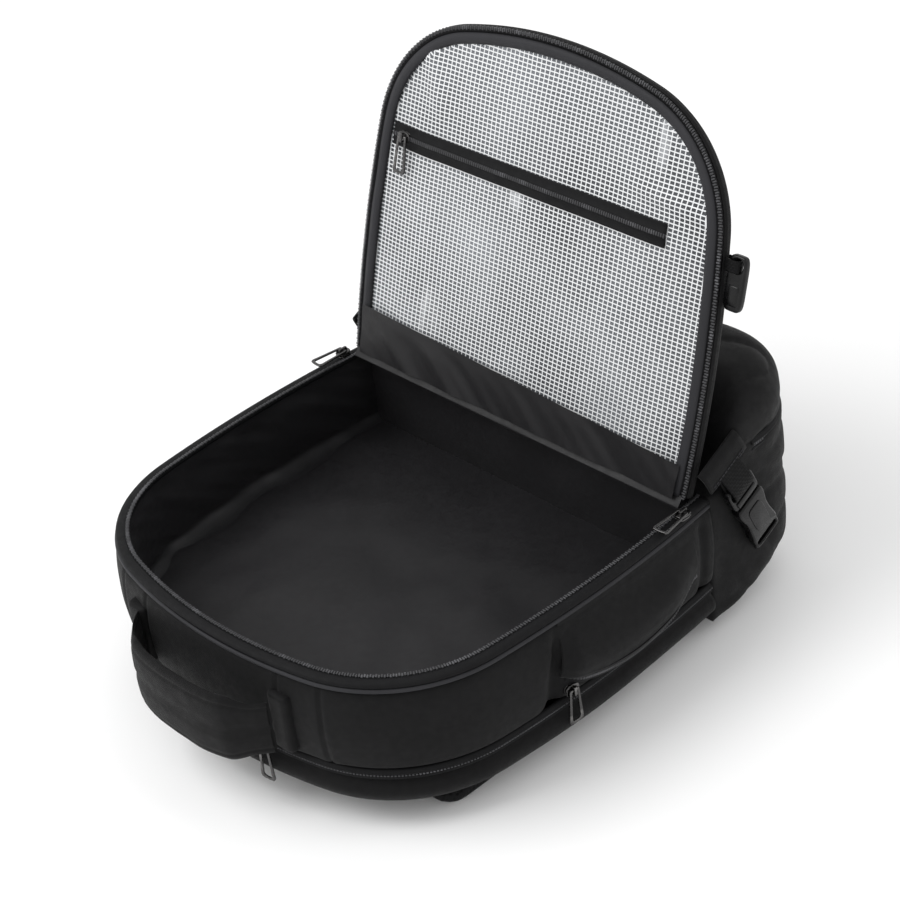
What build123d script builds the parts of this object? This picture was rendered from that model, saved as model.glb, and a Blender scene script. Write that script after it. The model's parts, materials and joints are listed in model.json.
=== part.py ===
from build123d import *

import os
from math import asin, atan2, cos, degrees, radians, sin, sqrt, tan

# A travel backpack lying on its back panel with the main lid swung open.
# The carrying handle is at -Y, the base compartment at +Y and the shoulder
# straps are underneath. Sizes are in millimetres.

# ---- Driving dimensions ----
TUB_WIDTH = 336.0            # main compartment, across its widest point
TUB_LENGTH = 297.0           # handle end to the base compartment
BASE_LENGTH = 112.0
BASE_HEIGHT = 180.0
RIM_HEIGHT = 118.0           # floor to the top of the rim zip
HANDLE_REACH = 28.0
SIDE_RADIUS = 980.0          # the long sides bow out a little
WIDEST_FROM_BASE = 98.0
CORNER_RADIUS = 100.0
END_RADIUS = 370.0

SKIN = 2.5                   # outer fabric with its foam
LINING = 1.5
BACK_Z = 12.0                # back pads and straps fill the space below
BACK_EDGE_RADIUS = 9.0
LAPTOP_ZIP_Z = 40.0
ZIP_HEIGHT = 8.0
ZIP_PROUD = 1.2
RIM_WIDTH = 8.0
RIM_THICK = 4.0
RIM_OVERHANG = 1.0
PIPING = 2.0
PIPING_HEIGHT = 3.0
PARTITION = 6.0

LID_OPEN_ANGLE = 106.0
LID_GAP = 1.0                # between the closed lid and the rim
HINGE_SETBACK = 18.0         # the lid is sewn on this far before the base
LID_ROOT = 5.0               # from the hinge axis to the lid panel
LID_TRIM = 3.0               # thickness of the zip and the binding
LID_ZIP_WIDTH = 4.0
BINDING_WIDTH = 8.0
POCKET_GAP = 4.7             # room behind the mesh
LID_LINING = 1.2
LID_FOAM = 3.8
LID_EDGE_RADIUS = 5.0
MESH = 0.8
MESH_LEVEL = 1.5
MESH_ZIP_FROM_HINGE = 172.0
MESH_ZIP_WIDTH = 16.0
HEM_FROM_HINGE = 35.0
FRONT_POCKET_HALF = 112.0
FRONT_POCKET_DEPTH = 10.0
FRONT_POCKET_EDGE = 40.0
FRONT_POCKET_LENGTH = 190.0
FRONT_POCKET_CORNER = 30.0
FRONT_WALL = 2.0
FRONT_POCKET_EASE = 4.0
FRONT_ZIP_X = 126.0
FRONT_ZIP_WIDTH = 9.0
FRONT_ZIP_THICK = 1.5
FRONT_ZIP_START = 44.0
FRONT_ZIP_LENGTH = 180.0

BASE_CORNER = 58.0
BASE_BOTTOM_RADIUS = 42.0
BASE_TOP_RADIUS = 44.0
BASE_ZIP_Z = 132.0
BASE_ZIP_START = 44.0
BASE_STEP = 14.0             # shelf that leaves room for the open lid
BASE_SLOPE = 18.0            # lean of the face behind the lid, degrees

SIDE_POCKET_DEPTH = 11.0
SIDE_POCKET_WALL = 2.0
SIDE_POCKET_LENGTH = 133.0
SIDE_POCKET_FROM_BASE = 17.0
SIDE_POCKET_Z = 62.0
SIDE_POCKET_HEIGHT = 48.0
SIDE_POCKET_EDGE = 5.0
SIDE_ZIP_GAP = 2.0
SIDE_ZIP_EXTRA = 4.0

SLEEVE_WIDTH = 250.0
SLEEVE_LENGTH = 245.0
SLEEVE_WALL = 3.5
SLEEVE_GAP = 14.0
BOARD = 2.0
BOARD_INSET = 12.0

PAD_LENGTH = 236.0
PAD_WIDTH = 46.0
PAD_X = 123.0
PAD_RADIUS = 14.0
LUMBAR_WIDTH = 70.0
LUMBAR_LENGTH = 92.0
STRAP_X = 68.0
STRAP_WIDTH = 50.0
STRAP_THICK = 9.0
STRAP_LENGTH = 205.0
STRAP_LIFT = 0.5
STRAP_START = 44.0           # from the handle end to the strap's hinge
WEBBING_WIDTH = 25.0
WEBBING = 1.6
ANCHOR_LENGTH = 15.0
LOCK_LENGTH = 20.0
LOCK_WIDTH = 34.0
LOCK_THICK = 5.0
LOCK_BAR = 3.0
CLEARANCE = 0.4              # between pieces that move past each other

HANDLE_Z = 76.0
HANDLE_WIDTH = 38.0
HANDLE_THICK = 7.0
HANDLE_HALF = 54.0
HANDLE_PAD_HALF = 44.0
HANDLE_AXIS_OUT = 5.0        # hinge axis in front of the end face
HANDLE_PIN = 2.0
TONGUE_WIDTH = 10.0
HANDLE_ANCHOR = 8.0
HANDLE_ANCHOR_HEIGHT = 24.0

SLIDER_LENGTH = 11.0
SLIDER_WIDTH = 8.0
SLIDER_BODY = 3.0
BRIDGE_LENGTH = 7.0
BRIDGE_WIDTH = 2.4
BRIDGE_GAP = 4.2
BRIDGE_TOP = 6.0
BRIDGE_WALL = 0.8
PULL_AXIS = 4.1
PULL_BAR = 1.5
PULL_LENGTH = 26.0
PULL_NECK = 8.0
PULL_FOOT = 12.0
PULL_RIM = 1.9
MAIN_SLIDER_FROM_BASE = 25.0
LAPTOP_SLIDER_X = 46.0
BASE_SLIDER_X = 80.0
MESH_SLIDER_X = -128.0

BUCKLE_WIDTH = 34.0
BUCKLE_THICK = 8.5
BUCKLE_WALL = 1.8
BUCKLE_JOIN = 20.0           # length of the male half that stays outside
PRONG_LENGTH = 24.0
PRONG_WIDTH = 4.5
PRONG_ROOM = 2.0
FEMALE_LENGTH = 46.0
BUCKLE_FROM_BASE = 22.0
BUCKLE_TOP_Z = 122.0
BUCKLE_LEAN = 26.0           # the compression strap leans this far, degrees
BUCKLE_TRAVEL = 30.0
WEBBING_TAIL = 22.0
WEBBING_LOWER = 30.0

TAB_FROM_HINGE = 167.0
TAB_HOLE = 6.0
LID_BUCKLE_OUT = 5.0
LID_BUCKLE_WIDTH = 17.0
LID_BUCKLE_LENGTH = 36.0
LID_BUCKLE_THICK = 5.2
TAB_WIDTH = 8.0
TAB_LEVEL = 5.0
TAB_WEBBING = 1.5

# ---- Places worked out from the driving dimensions ----
ZIP_SEAT_GAP = 0.3
SLIDER_PROUD = ZIP_PROUD + ZIP_SEAT_GAP + BRIDGE_TOP
JOINT_Y = (TUB_LENGTH + HANDLE_REACH - BASE_LENGTH - SLIDER_PROUD) / 2
NEAR_Y = JOINT_Y - TUB_LENGTH
HINGE_Y = JOINT_Y - HINGE_SETBACK
HINGE_Z = RIM_HEIGHT + LID_GAP
WALL_Z = LAPTOP_ZIP_Z + ZIP_HEIGHT
WALL_TOP = RIM_HEIGHT - RIM_THICK
FLOOR_Z = WALL_Z + SKIN
INSIDE = SKIN + LINING
SIDE_CENTRE = Vector(TUB_WIDTH / 2 - SIDE_RADIUS, JOINT_Y - WIDEST_FROM_BASE)
END_CENTRE = Vector(0, NEAR_Y + END_RADIUS)
RIGHT, LEFT = 1, -1
SIDE_NAMES = {RIGHT: "right", LEFT: "left"}
TALL = 4 * BASE_HEIGHT       # larger than anything it cuts
OVERSHOOT = 1.0              # cuts run this far past the end that they open

os.makedirs("parts", exist_ok=True)


def save(piece, label):
    """Names a finished piece and writes it as its own file."""
    piece.part.label = label
    export_step(piece.part, f"parts/{label}.step")


def corner_centre():
    """Centre of the corner circle, which touches the side and end arcs."""
    to_side = SIDE_RADIUS - CORNER_RADIUS
    to_end = END_RADIUS - CORNER_RADIUS
    between = END_CENTRE - SIDE_CENTRE
    along = (to_side**2 - to_end**2 + between.length**2) / (2 * between.length)
    unit = between.normalized()
    return SIDE_CENTRE + unit * along + Vector(unit.Y, -unit.X) * sqrt(to_side**2 - along**2)


CORNER = corner_centre()


def bearing(start, end):
    """Direction from one point to another, in degrees."""
    return degrees(atan2(end.Y - start.Y, end.X - start.X))


def side_angle(y, inset):
    """Angle on the side arc of the point at this y."""
    return degrees(asin((y - SIDE_CENTRE.Y) / (SIDE_RADIUS - inset)))


def side_x(y, inset=0.0):
    """Half width of the outline at this y."""
    return SIDE_CENTRE.X + (SIDE_RADIUS - inset) * cos(radians(side_angle(y, inset)))


def outline(plane, inset, far=JOINT_Y):
    """U-shaped outline of the main compartment, moved inwards by an inset and cut off at far."""
    side_stop = bearing(SIDE_CENTRE, CORNER)
    end_start = bearing(END_CENTRE, CORNER)
    open_end = JOINT_Y + OVERSHOOT
    side_start = side_angle(open_end, inset)
    with BuildSketch(plane) as profile:
        with BuildLine():
            Line((0, open_end), (side_x(open_end, inset), open_end))
            CenterArc(SIDE_CENTRE, SIDE_RADIUS - inset, side_start, side_stop - side_start)
            CenterArc(CORNER, CORNER_RADIUS - inset, side_stop, end_start - side_stop)
            CenterArc(END_CENTRE, END_RADIUS - inset, end_start, -90 - end_start)
            mirror(about=Plane.YZ)
        make_face()
        with Locations((0, far)):
            Rectangle(TALL, TALL, align=(Align.CENTER, Align.MIN), mode=Mode.SUBTRACT)
    return profile.sketch


def level(z):
    """Horizontal plane at a height."""
    return Plane.XY.offset(z)


def lid_level(depth):
    """Plane of the open lid; it holds the plan of the closed lid."""
    angle = radians(LID_OPEN_ANGLE)
    origin = (0, HINGE_Y * (1 - cos(angle)), HINGE_Z + HINGE_Y * sin(angle))
    lid = Plane(origin=origin, x_dir=(1, 0, 0), z_dir=(0, sin(angle), cos(angle)))
    return lid.offset(depth)


def side_plane(y, z, inset, side):
    """Plane on the outer side face: x runs towards the handle, z points out."""
    angle = radians(side_angle(y, inset))
    reach = SIDE_RADIUS - inset
    x = SIDE_CENTRE.X + reach * cos(angle)
    return Plane(
        origin=(side * x, y, z),
        x_dir=(side * sin(angle), -cos(angle), 0),
        z_dir=(side * cos(angle), sin(angle), 0),
    )


# ---- Back panel ----
with BuildPart() as back_pads:
    with BuildSketch(level(0)):
        with Locations((PAD_X, JOINT_Y - PAD_LENGTH / 2), (-PAD_X, JOINT_Y - PAD_LENGTH / 2)):
            RectangleRounded(PAD_WIDTH, PAD_LENGTH, PAD_RADIUS)
        with Locations((0, JOINT_Y - LUMBAR_LENGTH / 2)):
            RectangleRounded(LUMBAR_WIDTH, LUMBAR_LENGTH, PAD_RADIUS)
    extrude(amount=BACK_Z)
    fillet(edges().group_by(Axis.Z)[0], radius=BACK_Z / 3)
save(back_pads, "back_pads")

with BuildPart() as rear_shell:
    extrude(outline(level(BACK_Z), 0), amount=LAPTOP_ZIP_Z - BACK_Z)
    fillet(edges().group_by(Axis.Z)[0], radius=BACK_EDGE_RADIUS)
    cavity = outline(level(BACK_Z + SKIN), SKIN, JOINT_Y - SKIN)
    extrude(cavity, amount=LAPTOP_ZIP_Z - BACK_Z, mode=Mode.SUBTRACT)
save(rear_shell, "rear_shell")

with BuildPart() as back_board:
    board_plan = outline(level(BACK_Z + SKIN), BOARD_INSET, JOINT_Y - BOARD_INSET)
    extrude(board_plan, amount=BOARD)
save(back_board, "back_board")

SLEEVE_Z = BACK_Z + SKIN + BOARD + CLEARANCE
SLEEVE_Y = JOINT_Y - SKIN - SLEEVE_WALL
with BuildPart() as laptop_sleeve:
    with BuildSketch(level(SLEEVE_Z)):
        with Locations((0, SLEEVE_Y - SLEEVE_LENGTH / 2)):
            RectangleRounded(SLEEVE_WIDTH, SLEEVE_LENGTH, SLEEVE_WALL)
    extrude(amount=SLEEVE_GAP + 2 * SLEEVE_WALL)
    with BuildSketch(level(SLEEVE_Z + SLEEVE_WALL)):
        with Locations((0, SLEEVE_Y - SLEEVE_WALL)):
            Rectangle(SLEEVE_WIDTH - 2 * SLEEVE_WALL, SLEEVE_LENGTH,
                      align=(Align.CENTER, Align.MAX))
    extrude(amount=SLEEVE_GAP, mode=Mode.SUBTRACT)
save(laptop_sleeve, "laptop_sleeve")

with BuildPart() as laptop_zip:
    extrude(outline(level(LAPTOP_ZIP_Z), -ZIP_PROUD), amount=ZIP_HEIGHT)
    inner = outline(level(LAPTOP_ZIP_Z), SKIN, JOINT_Y + OVERSHOOT)
    extrude(inner, amount=ZIP_HEIGHT, mode=Mode.SUBTRACT)
save(laptop_zip, "laptop_zip")

# ---- Main compartment ----
with BuildPart() as main_wall:
    extrude(outline(level(WALL_Z), 0), amount=WALL_TOP - WALL_Z)
    inner = outline(level(FLOOR_Z), SKIN, JOINT_Y + OVERSHOOT)
    extrude(inner, amount=WALL_TOP - FLOOR_Z, mode=Mode.SUBTRACT)
save(main_wall, "main_wall")

with BuildPart() as main_lining:
    extrude(outline(level(FLOOR_Z), SKIN), amount=WALL_TOP - FLOOR_Z)
    inner = outline(level(FLOOR_Z + LINING), INSIDE, JOINT_Y + OVERSHOOT)
    extrude(inner, amount=WALL_TOP - FLOOR_Z, mode=Mode.SUBTRACT)
save(main_lining, "main_lining")

with BuildPart() as base_partition:
    extrude(outline(level(FLOOR_Z + LINING), INSIDE), amount=WALL_TOP - FLOOR_Z - LINING)
    inner = outline(level(FLOOR_Z + LINING), SKIN, JOINT_Y - PARTITION)
    extrude(inner, amount=WALL_TOP - FLOOR_Z, mode=Mode.SUBTRACT)
save(base_partition, "base_partition")

with BuildPart() as rim_zip:
    extrude(outline(level(WALL_TOP), -RIM_OVERHANG), amount=RIM_THICK)
    inner = outline(level(WALL_TOP), RIM_WIDTH, JOINT_Y + OVERSHOOT)
    extrude(inner, amount=RIM_THICK, mode=Mode.SUBTRACT)
save(rim_zip, "rim_zip")

with BuildPart() as rim_piping:
    extrude(outline(level(WALL_TOP - PIPING_HEIGHT), -PIPING), amount=PIPING_HEIGHT)
    inner = outline(level(WALL_TOP - PIPING_HEIGHT), 0, JOINT_Y + OVERSHOOT)
    extrude(inner, amount=PIPING_HEIGHT, mode=Mode.SUBTRACT)
save(rim_piping, "rim_piping")

with BuildPart() as hinge_panel:
    extrude(outline(level(WALL_TOP), RIM_WIDTH), amount=RIM_THICK)
    inner = outline(level(WALL_TOP), RIM_WIDTH - OVERSHOOT, HINGE_Y - LID_ROOT)
    extrude(inner, amount=RIM_THICK, mode=Mode.SUBTRACT)
save(hinge_panel, "hinge_panel")

# ---- Base compartment ----
BASE_HALF = side_x(JOINT_Y)
BASE_END_Y = JOINT_Y + BASE_LENGTH


def base_form(inset):
    """Closed form of the base compartment, moved inwards by an inset."""
    front = JOINT_Y + inset
    with BuildPart() as form:
        with BuildSketch(level(BACK_Z + inset)) as plan:
            with Locations((0, front)):
                Rectangle(2 * (BASE_HALF - inset), BASE_LENGTH - 2 * inset,
                          align=(Align.CENTER, Align.MIN))
            fillet(plan.vertices().group_by(Axis.Y)[-1], radius=BASE_CORNER - inset)
        extrude(amount=BASE_HEIGHT - BACK_Z - 2 * inset)
        bottom = edges().group_by(Axis.Z)[0].filter_by(lambda e: e.center().Y > front + OVERSHOOT)
        fillet(bottom, radius=BASE_BOTTOM_RADIUS - inset)
        top = edges().group_by(Axis.Z)[-1].filter_by(lambda e: e.center().Y > front + OVERSHOOT)
        fillet(top, radius=BASE_TOP_RADIUS - inset)
        with BuildSketch(Plane.YZ):
            with BuildLine():
                shelf = RIM_HEIGHT - inset
                foot = JOINT_Y + BASE_STEP + inset
                rise = BASE_HEIGHT
                Polyline((front - OVERSHOOT, shelf), (foot, shelf),
                         (foot + rise * tan(radians(BASE_SLOPE)), shelf + rise),
                         (front - OVERSHOOT, shelf + rise), close=True)
            make_face()
        extrude(amount=TALL, both=True, mode=Mode.SUBTRACT)
    return form.part


ZIP_BAND = Location((0, JOINT_Y + BASE_ZIP_START, BASE_ZIP_Z))
LOW_END = (Align.CENTER, Align.MIN, Align.MIN)

with BuildPart() as base_shell:
    add(base_form(0))
    add(base_form(SKIN), mode=Mode.SUBTRACT)
    split(bisect_by=level(BASE_ZIP_Z), keep=Keep.BOTTOM)
save(base_shell, "base_shell")

with BuildPart() as base_top:
    add(base_form(0))
    add(base_form(SKIN), mode=Mode.SUBTRACT)
    split(bisect_by=level(BASE_ZIP_Z), keep=Keep.TOP)
    with Locations(ZIP_BAND):
        Box(TALL, BASE_LENGTH, ZIP_HEIGHT, align=LOW_END, mode=Mode.SUBTRACT)
save(base_top, "base_top")

with BuildPart() as base_zip:
    add(base_form(-ZIP_PROUD))
    add(base_form(SKIN), mode=Mode.SUBTRACT)
    with Locations(ZIP_BAND):
        Box(TALL, BASE_LENGTH, ZIP_HEIGHT, align=LOW_END, mode=Mode.INTERSECT)
save(base_zip, "base_zip")

# ---- Side pockets ----
POCKET_FAR = JOINT_Y - SIDE_POCKET_FROM_BASE
POCKET_NEAR = POCKET_FAR - SIDE_POCKET_LENGTH
SIDE_ZIP_Z = SIDE_POCKET_Z - SIDE_ZIP_GAP - ZIP_HEIGHT


def side_block(side, near, far, z, height, proud):
    """Block that stands proud of the side wall and follows its curve."""
    middle = Location((side * TUB_WIDTH / 2, (near + far) / 2, z))
    half_up = (Align.CENTER, Align.CENTER, Align.MIN)
    with BuildPart() as block:
        extrude(outline(level(z), -proud), amount=height)
        with Locations(middle):
            Box(TUB_WIDTH / 2, far - near, height, align=half_up, mode=Mode.INTERSECT)
        extrude(outline(level(z), 0), amount=height, mode=Mode.SUBTRACT)
    return block.part


for side in (RIGHT, LEFT):
    wall = SIDE_POCKET_WALL
    with BuildPart() as side_pocket:
        add(side_block(side, POCKET_NEAR, POCKET_FAR, SIDE_POCKET_Z,
                       SIDE_POCKET_HEIGHT, SIDE_POCKET_DEPTH))
        face = side_pocket.faces().sort_by(Axis.X)[-1 if side == RIGHT else 0]
        fillet(face.edges(), radius=SIDE_POCKET_EDGE)
        add(side_block(side, POCKET_NEAR + wall, POCKET_FAR - wall, SIDE_POCKET_Z + wall,
                       SIDE_POCKET_HEIGHT - 2 * wall, SIDE_POCKET_DEPTH - wall),
            mode=Mode.SUBTRACT)
    save(side_pocket, f"side_pocket_{SIDE_NAMES[side]}")

    with BuildPart() as side_zip:
        add(side_block(side, POCKET_NEAR - SIDE_ZIP_EXTRA, POCKET_FAR + SIDE_ZIP_EXTRA,
                       SIDE_ZIP_Z, ZIP_HEIGHT, ZIP_PROUD))
    save(side_zip, f"side_zip_{SIDE_NAMES[side]}")

# ---- Lid ----
LID_FAR = HINGE_Y - LID_ROOT
LID_INNER_FAR = LID_FAR - SKIN
BINDING_INSET = RIM_WIDTH + LID_ZIP_WIDTH
MESH_INSET = BINDING_INSET + BINDING_WIDTH
MESH_ZIP_Y = HINGE_Y - MESH_ZIP_FROM_HINGE
HEM_Y = HINGE_Y - HEM_FROM_HINGE
LINING_LEVEL = MESH_LEVEL + MESH + POCKET_GAP
FOAM_LEVEL = LINING_LEVEL + LID_LINING
SHELL_LEVEL = FOAM_LEVEL + LID_FOAM
LID_TOP = SHELL_LEVEL + SKIN
LID_NORMAL = Axis((0, 0, 0), lid_level(0).z_dir)

with BuildPart() as lid_zip:
    extrude(outline(lid_level(0), RIM_WIDTH, LID_FAR), amount=LID_TRIM)
    inner = outline(lid_level(0), BINDING_INSET, LID_FAR + OVERSHOOT)
    extrude(inner, amount=LID_TRIM, mode=Mode.SUBTRACT)
save(lid_zip, "lid_zip")

with BuildPart() as lid_binding:
    extrude(outline(lid_level(0), BINDING_INSET, LID_FAR), amount=LID_TRIM)
    inner = outline(lid_level(0), MESH_INSET, LID_FAR + OVERSHOOT)
    extrude(inner, amount=LID_TRIM, mode=Mode.SUBTRACT)
save(lid_binding, "lid_binding")

with BuildPart() as mesh_upper:
    sheet = outline(lid_level(MESH_LEVEL), MESH_INSET, MESH_ZIP_Y - MESH_ZIP_WIDTH / 2)
    extrude(sheet, amount=MESH)
save(mesh_upper, "mesh_upper")

with BuildPart() as mesh_lower:
    extrude(outline(lid_level(MESH_LEVEL), MESH_INSET, HEM_Y), amount=MESH)
    above = outline(lid_level(MESH_LEVEL), BINDING_INSET, MESH_ZIP_Y + MESH_ZIP_WIDTH / 2)
    extrude(above, amount=MESH, mode=Mode.SUBTRACT)
save(mesh_lower, "mesh_lower")

with BuildPart() as mesh_zip:
    strip = outline(lid_level(MESH), MESH_INSET, MESH_ZIP_Y + MESH_ZIP_WIDTH / 2)
    extrude(strip, amount=MESH_LEVEL)
    above = outline(lid_level(MESH), BINDING_INSET, MESH_ZIP_Y - MESH_ZIP_WIDTH / 2)
    extrude(above, amount=MESH_LEVEL, mode=Mode.SUBTRACT)
save(mesh_zip, "mesh_zip")

with BuildPart() as lid_lining:
    hem_height = LINING_LEVEL - MESH_LEVEL
    extrude(outline(lid_level(MESH_LEVEL), MESH_INSET, LID_INNER_FAR), amount=hem_height)
    above = outline(lid_level(MESH_LEVEL), BINDING_INSET, HEM_Y)
    extrude(above, amount=hem_height, mode=Mode.SUBTRACT)
    panel = outline(lid_level(LINING_LEVEL), RIM_WIDTH + SKIN, LID_INNER_FAR)
    extrude(panel, amount=LID_LINING)
save(lid_lining, "lid_lining")

with BuildPart() as lid_foam:
    extrude(outline(lid_level(FOAM_LEVEL), RIM_WIDTH + SKIN, LID_INNER_FAR), amount=LID_FOAM)
save(lid_foam, "lid_foam")

with BuildPart() as lid_shell:
    extrude(outline(lid_level(LID_TRIM), RIM_WIDTH, LID_FAR), amount=LID_TOP - LID_TRIM)
    cavity = outline(lid_level(LID_TRIM), RIM_WIDTH + SKIN, LID_INNER_FAR)
    extrude(cavity, amount=SHELL_LEVEL - LID_TRIM, mode=Mode.SUBTRACT)
    fillet(edges().group_by(LID_NORMAL)[-1], radius=LID_EDGE_RADIUS)
save(lid_shell, "lid_shell")

FRONT_POCKET_Y = HINGE_Y - FRONT_POCKET_EDGE - FRONT_POCKET_LENGTH / 2


def front_plan(inset):
    """Plan of the pocket on the outside of the lid."""
    with BuildSketch(lid_level(LID_TOP)) as plan:
        with Locations((0, FRONT_POCKET_Y)):
            RectangleRounded(2 * (FRONT_POCKET_HALF - inset), FRONT_POCKET_LENGTH - 2 * inset,
                             FRONT_POCKET_CORNER - inset)
    return plan.sketch


with BuildPart() as front_pocket:
    extrude(front_plan(0), amount=FRONT_POCKET_DEPTH)
    fillet(edges().group_by(LID_NORMAL)[-1], radius=FRONT_POCKET_EASE)
    extrude(front_plan(FRONT_WALL), amount=FRONT_POCKET_DEPTH - FRONT_WALL, mode=Mode.SUBTRACT)
save(front_pocket, "front_pocket")

FRONT_ZIP_Y = HINGE_Y - FRONT_ZIP_START
with BuildPart() as front_zip:
    with BuildSketch(lid_level(LID_TOP)):
        with Locations((FRONT_ZIP_X, FRONT_ZIP_Y)):
            Rectangle(FRONT_ZIP_WIDTH, FRONT_ZIP_LENGTH, align=(Align.CENTER, Align.MAX))
    extrude(amount=FRONT_ZIP_THICK)
save(front_zip, "front_zip")

# ---- Buckle half that hangs from the lid's right edge ----
TAB_Y = HINGE_Y - TAB_FROM_HINGE
TAB_EDGE_X = side_x(TAB_Y, RIM_WIDTH)
HOLE_X = TAB_EDGE_X + LID_BUCKLE_WIDTH / 2 + LID_BUCKLE_OUT
TAB_REACH = HOLE_X + TAB_WEBBING / 2
LOOP_GAP = LID_BUCKLE_THICK + 2 * CLEARANCE


def lid_block(x, y, z, size_x, size_y, size_z):
    """Box in the lid's plan with its middle at x, y and its foot at z."""
    with BuildPart(lid_level(z)) as block:
        with Locations((x, y)):
            Box(size_x, size_y, size_z, align=(Align.CENTER, Align.CENTER, Align.MIN))
    return block.part


with BuildPart() as lid_buckle_tab:
    inner_x = TAB_EDGE_X - SKIN / 2
    add(lid_block((inner_x + TAB_REACH) / 2, TAB_Y, TAB_LEVEL - TAB_WEBBING,
                  TAB_REACH - inner_x, TAB_WIDTH, LOOP_GAP + 2 * TAB_WEBBING))
    add(lid_block((TAB_EDGE_X + TAB_REACH) / 2, TAB_Y, TAB_LEVEL,
                  TAB_REACH - TAB_EDGE_X - 2 * TAB_WEBBING, TAB_WIDTH, LOOP_GAP),
        mode=Mode.SUBTRACT)
    add(lid_shell.part, mode=Mode.SUBTRACT)
    add(lid_lining.part, mode=Mode.SUBTRACT)
save(lid_buckle_tab, "lid_buckle_tab")

with BuildPart() as lid_buckle:
    top_y = TAB_Y - LID_BUCKLE_WIDTH / 2
    foot_y = TAB_Y + LID_BUCKLE_LENGTH
    with BuildSketch(lid_level(TAB_LEVEL + CLEARANCE)) as plate:
        with Locations((HOLE_X, top_y)):
            Rectangle(LID_BUCKLE_WIDTH, foot_y - top_y, align=(Align.CENTER, Align.MIN))
        fillet(plate.vertices(), radius=LID_BUCKLE_WIDTH / 4)
        with Locations((HOLE_X, TAB_Y)):
            Circle(TAB_HOLE, mode=Mode.SUBTRACT)
    extrude(amount=LID_BUCKLE_THICK)
    with BuildSketch(lid_level(TAB_LEVEL + CLEARANCE + BUCKLE_WALL)):
        with Locations((HOLE_X, foot_y)):
            Rectangle(LID_BUCKLE_WIDTH - 2 * BUCKLE_WALL, PRONG_LENGTH,
                      align=(Align.CENTER, Align.MAX))
    extrude(amount=LID_BUCKLE_THICK - 2 * BUCKLE_WALL, mode=Mode.SUBTRACT)
save(lid_buckle, "lid_buckle")

# ---- Compression straps on the sides of the base ----


def strap_plane(side, along, out=0.0):
    """Plane on the base's side face; x runs down along the compression strap."""
    lean = radians(BUCKLE_LEAN)
    y = JOINT_Y + BUCKLE_FROM_BASE + along * sin(lean)
    z = BUCKLE_TOP_Z - along * cos(lean)
    face = Plane(origin=(side * BASE_HALF, y, z), x_dir=(0, sin(lean), -cos(lean)),
                 z_dir=(side, 0, 0))
    return face.offset(out)


START = (Align.MIN, Align.CENTER)
PRONG_OUT = WEBBING + CLEARANCE + BUCKLE_WALL + CLEARANCE
PRONG_THICK = BUCKLE_THICK - 2 * BUCKLE_WALL - 2 * CLEARANCE
with BuildPart() as compression_webbing:
    for side in (RIGHT, LEFT):
        with BuildSketch(strap_plane(side, -WEBBING_TAIL)):
            Rectangle(WEBBING_TAIL + BUCKLE_JOIN / 2, WEBBING_WIDTH, align=START)
        extrude(amount=WEBBING)
        with BuildSketch(strap_plane(side, BUCKLE_JOIN + FEMALE_LENGTH - WEBBING_LOWER)):
            Rectangle(WEBBING_LOWER + BUCKLE_JOIN / 2, WEBBING_WIDTH, align=START)
        extrude(amount=WEBBING)
save(compression_webbing, "compression_webbing")

for side in (RIGHT, LEFT):
    with BuildPart() as male:
        with BuildSketch(strap_plane(side, 0, WEBBING)):
            Rectangle(BUCKLE_JOIN, BUCKLE_WIDTH, align=START)
            with Locations((BUCKLE_JOIN / 4, 0)):
                Rectangle(BUCKLE_JOIN / 4, WEBBING_WIDTH, align=START, mode=Mode.SUBTRACT)
        extrude(amount=BUCKLE_THICK)
        prong_step = BUCKLE_WIDTH / 2 - BUCKLE_WALL - CLEARANCE - PRONG_WIDTH / 2
        with BuildSketch(strap_plane(side, BUCKLE_JOIN, PRONG_OUT)):
            with Locations((0, -prong_step), (0, 0), (0, prong_step)):
                Rectangle(PRONG_LENGTH, PRONG_WIDTH, align=START)
        extrude(amount=PRONG_THICK)
    save(male, f"compression_male_{SIDE_NAMES[side]}")

    with BuildPart() as female:
        with BuildSketch(strap_plane(side, BUCKLE_JOIN + CLEARANCE, WEBBING + CLEARANCE)) as plate:
            Rectangle(FEMALE_LENGTH, BUCKLE_WIDTH, align=START)
            fillet(plate.vertices(), radius=BUCKLE_WALL)
        extrude(amount=BUCKLE_THICK)
        cavity_out = WEBBING + CLEARANCE + BUCKLE_WALL
        with BuildSketch(strap_plane(side, BUCKLE_JOIN, cavity_out)):
            Rectangle(PRONG_LENGTH + PRONG_ROOM, BUCKLE_WIDTH - 2 * BUCKLE_WALL, align=START)
        extrude(amount=BUCKLE_THICK - 2 * BUCKLE_WALL, mode=Mode.SUBTRACT)
        slot_at = BUCKLE_JOIN + FEMALE_LENGTH - 2 * LOCK_BAR
        with BuildSketch(strap_plane(side, slot_at)):
            Rectangle(LOCK_BAR, WEBBING_WIDTH, align=START)
        extrude(amount=2 * BUCKLE_THICK, mode=Mode.SUBTRACT)
    save(female, f"compression_female_{SIDE_NAMES[side]}")

# ---- Grab handle ----
AXIS_Y = NEAR_Y - HANDLE_AXIS_OUT
GRIP_Y = NEAR_Y - HANDLE_REACH + HANDLE_THICK / 2
TONGUE_Y = (AXIS_Y + GRIP_Y) / 2


def handle_band(width):
    """Bowed strip of the grab handle, this wide from edge to edge."""
    with BuildPart() as strip:
        with BuildSketch(level(HANDLE_Z - width / 2)):
            with BuildLine():
                curve = FilletPolyline(
                    (-HANDLE_HALF, AXIS_Y), (-HANDLE_PAD_HALF, TONGUE_Y),
                    (-HANDLE_PAD_HALF / 2, GRIP_Y), (HANDLE_PAD_HALF / 2, GRIP_Y),
                    (HANDLE_PAD_HALF, TONGUE_Y), (HANDLE_HALF, AXIS_Y), radius=HANDLE_THICK)
                offset(curve, amount=HANDLE_THICK / 2, kind=Kind.ARC)
            make_face()
        extrude(amount=width)
    return strip.part


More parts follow.
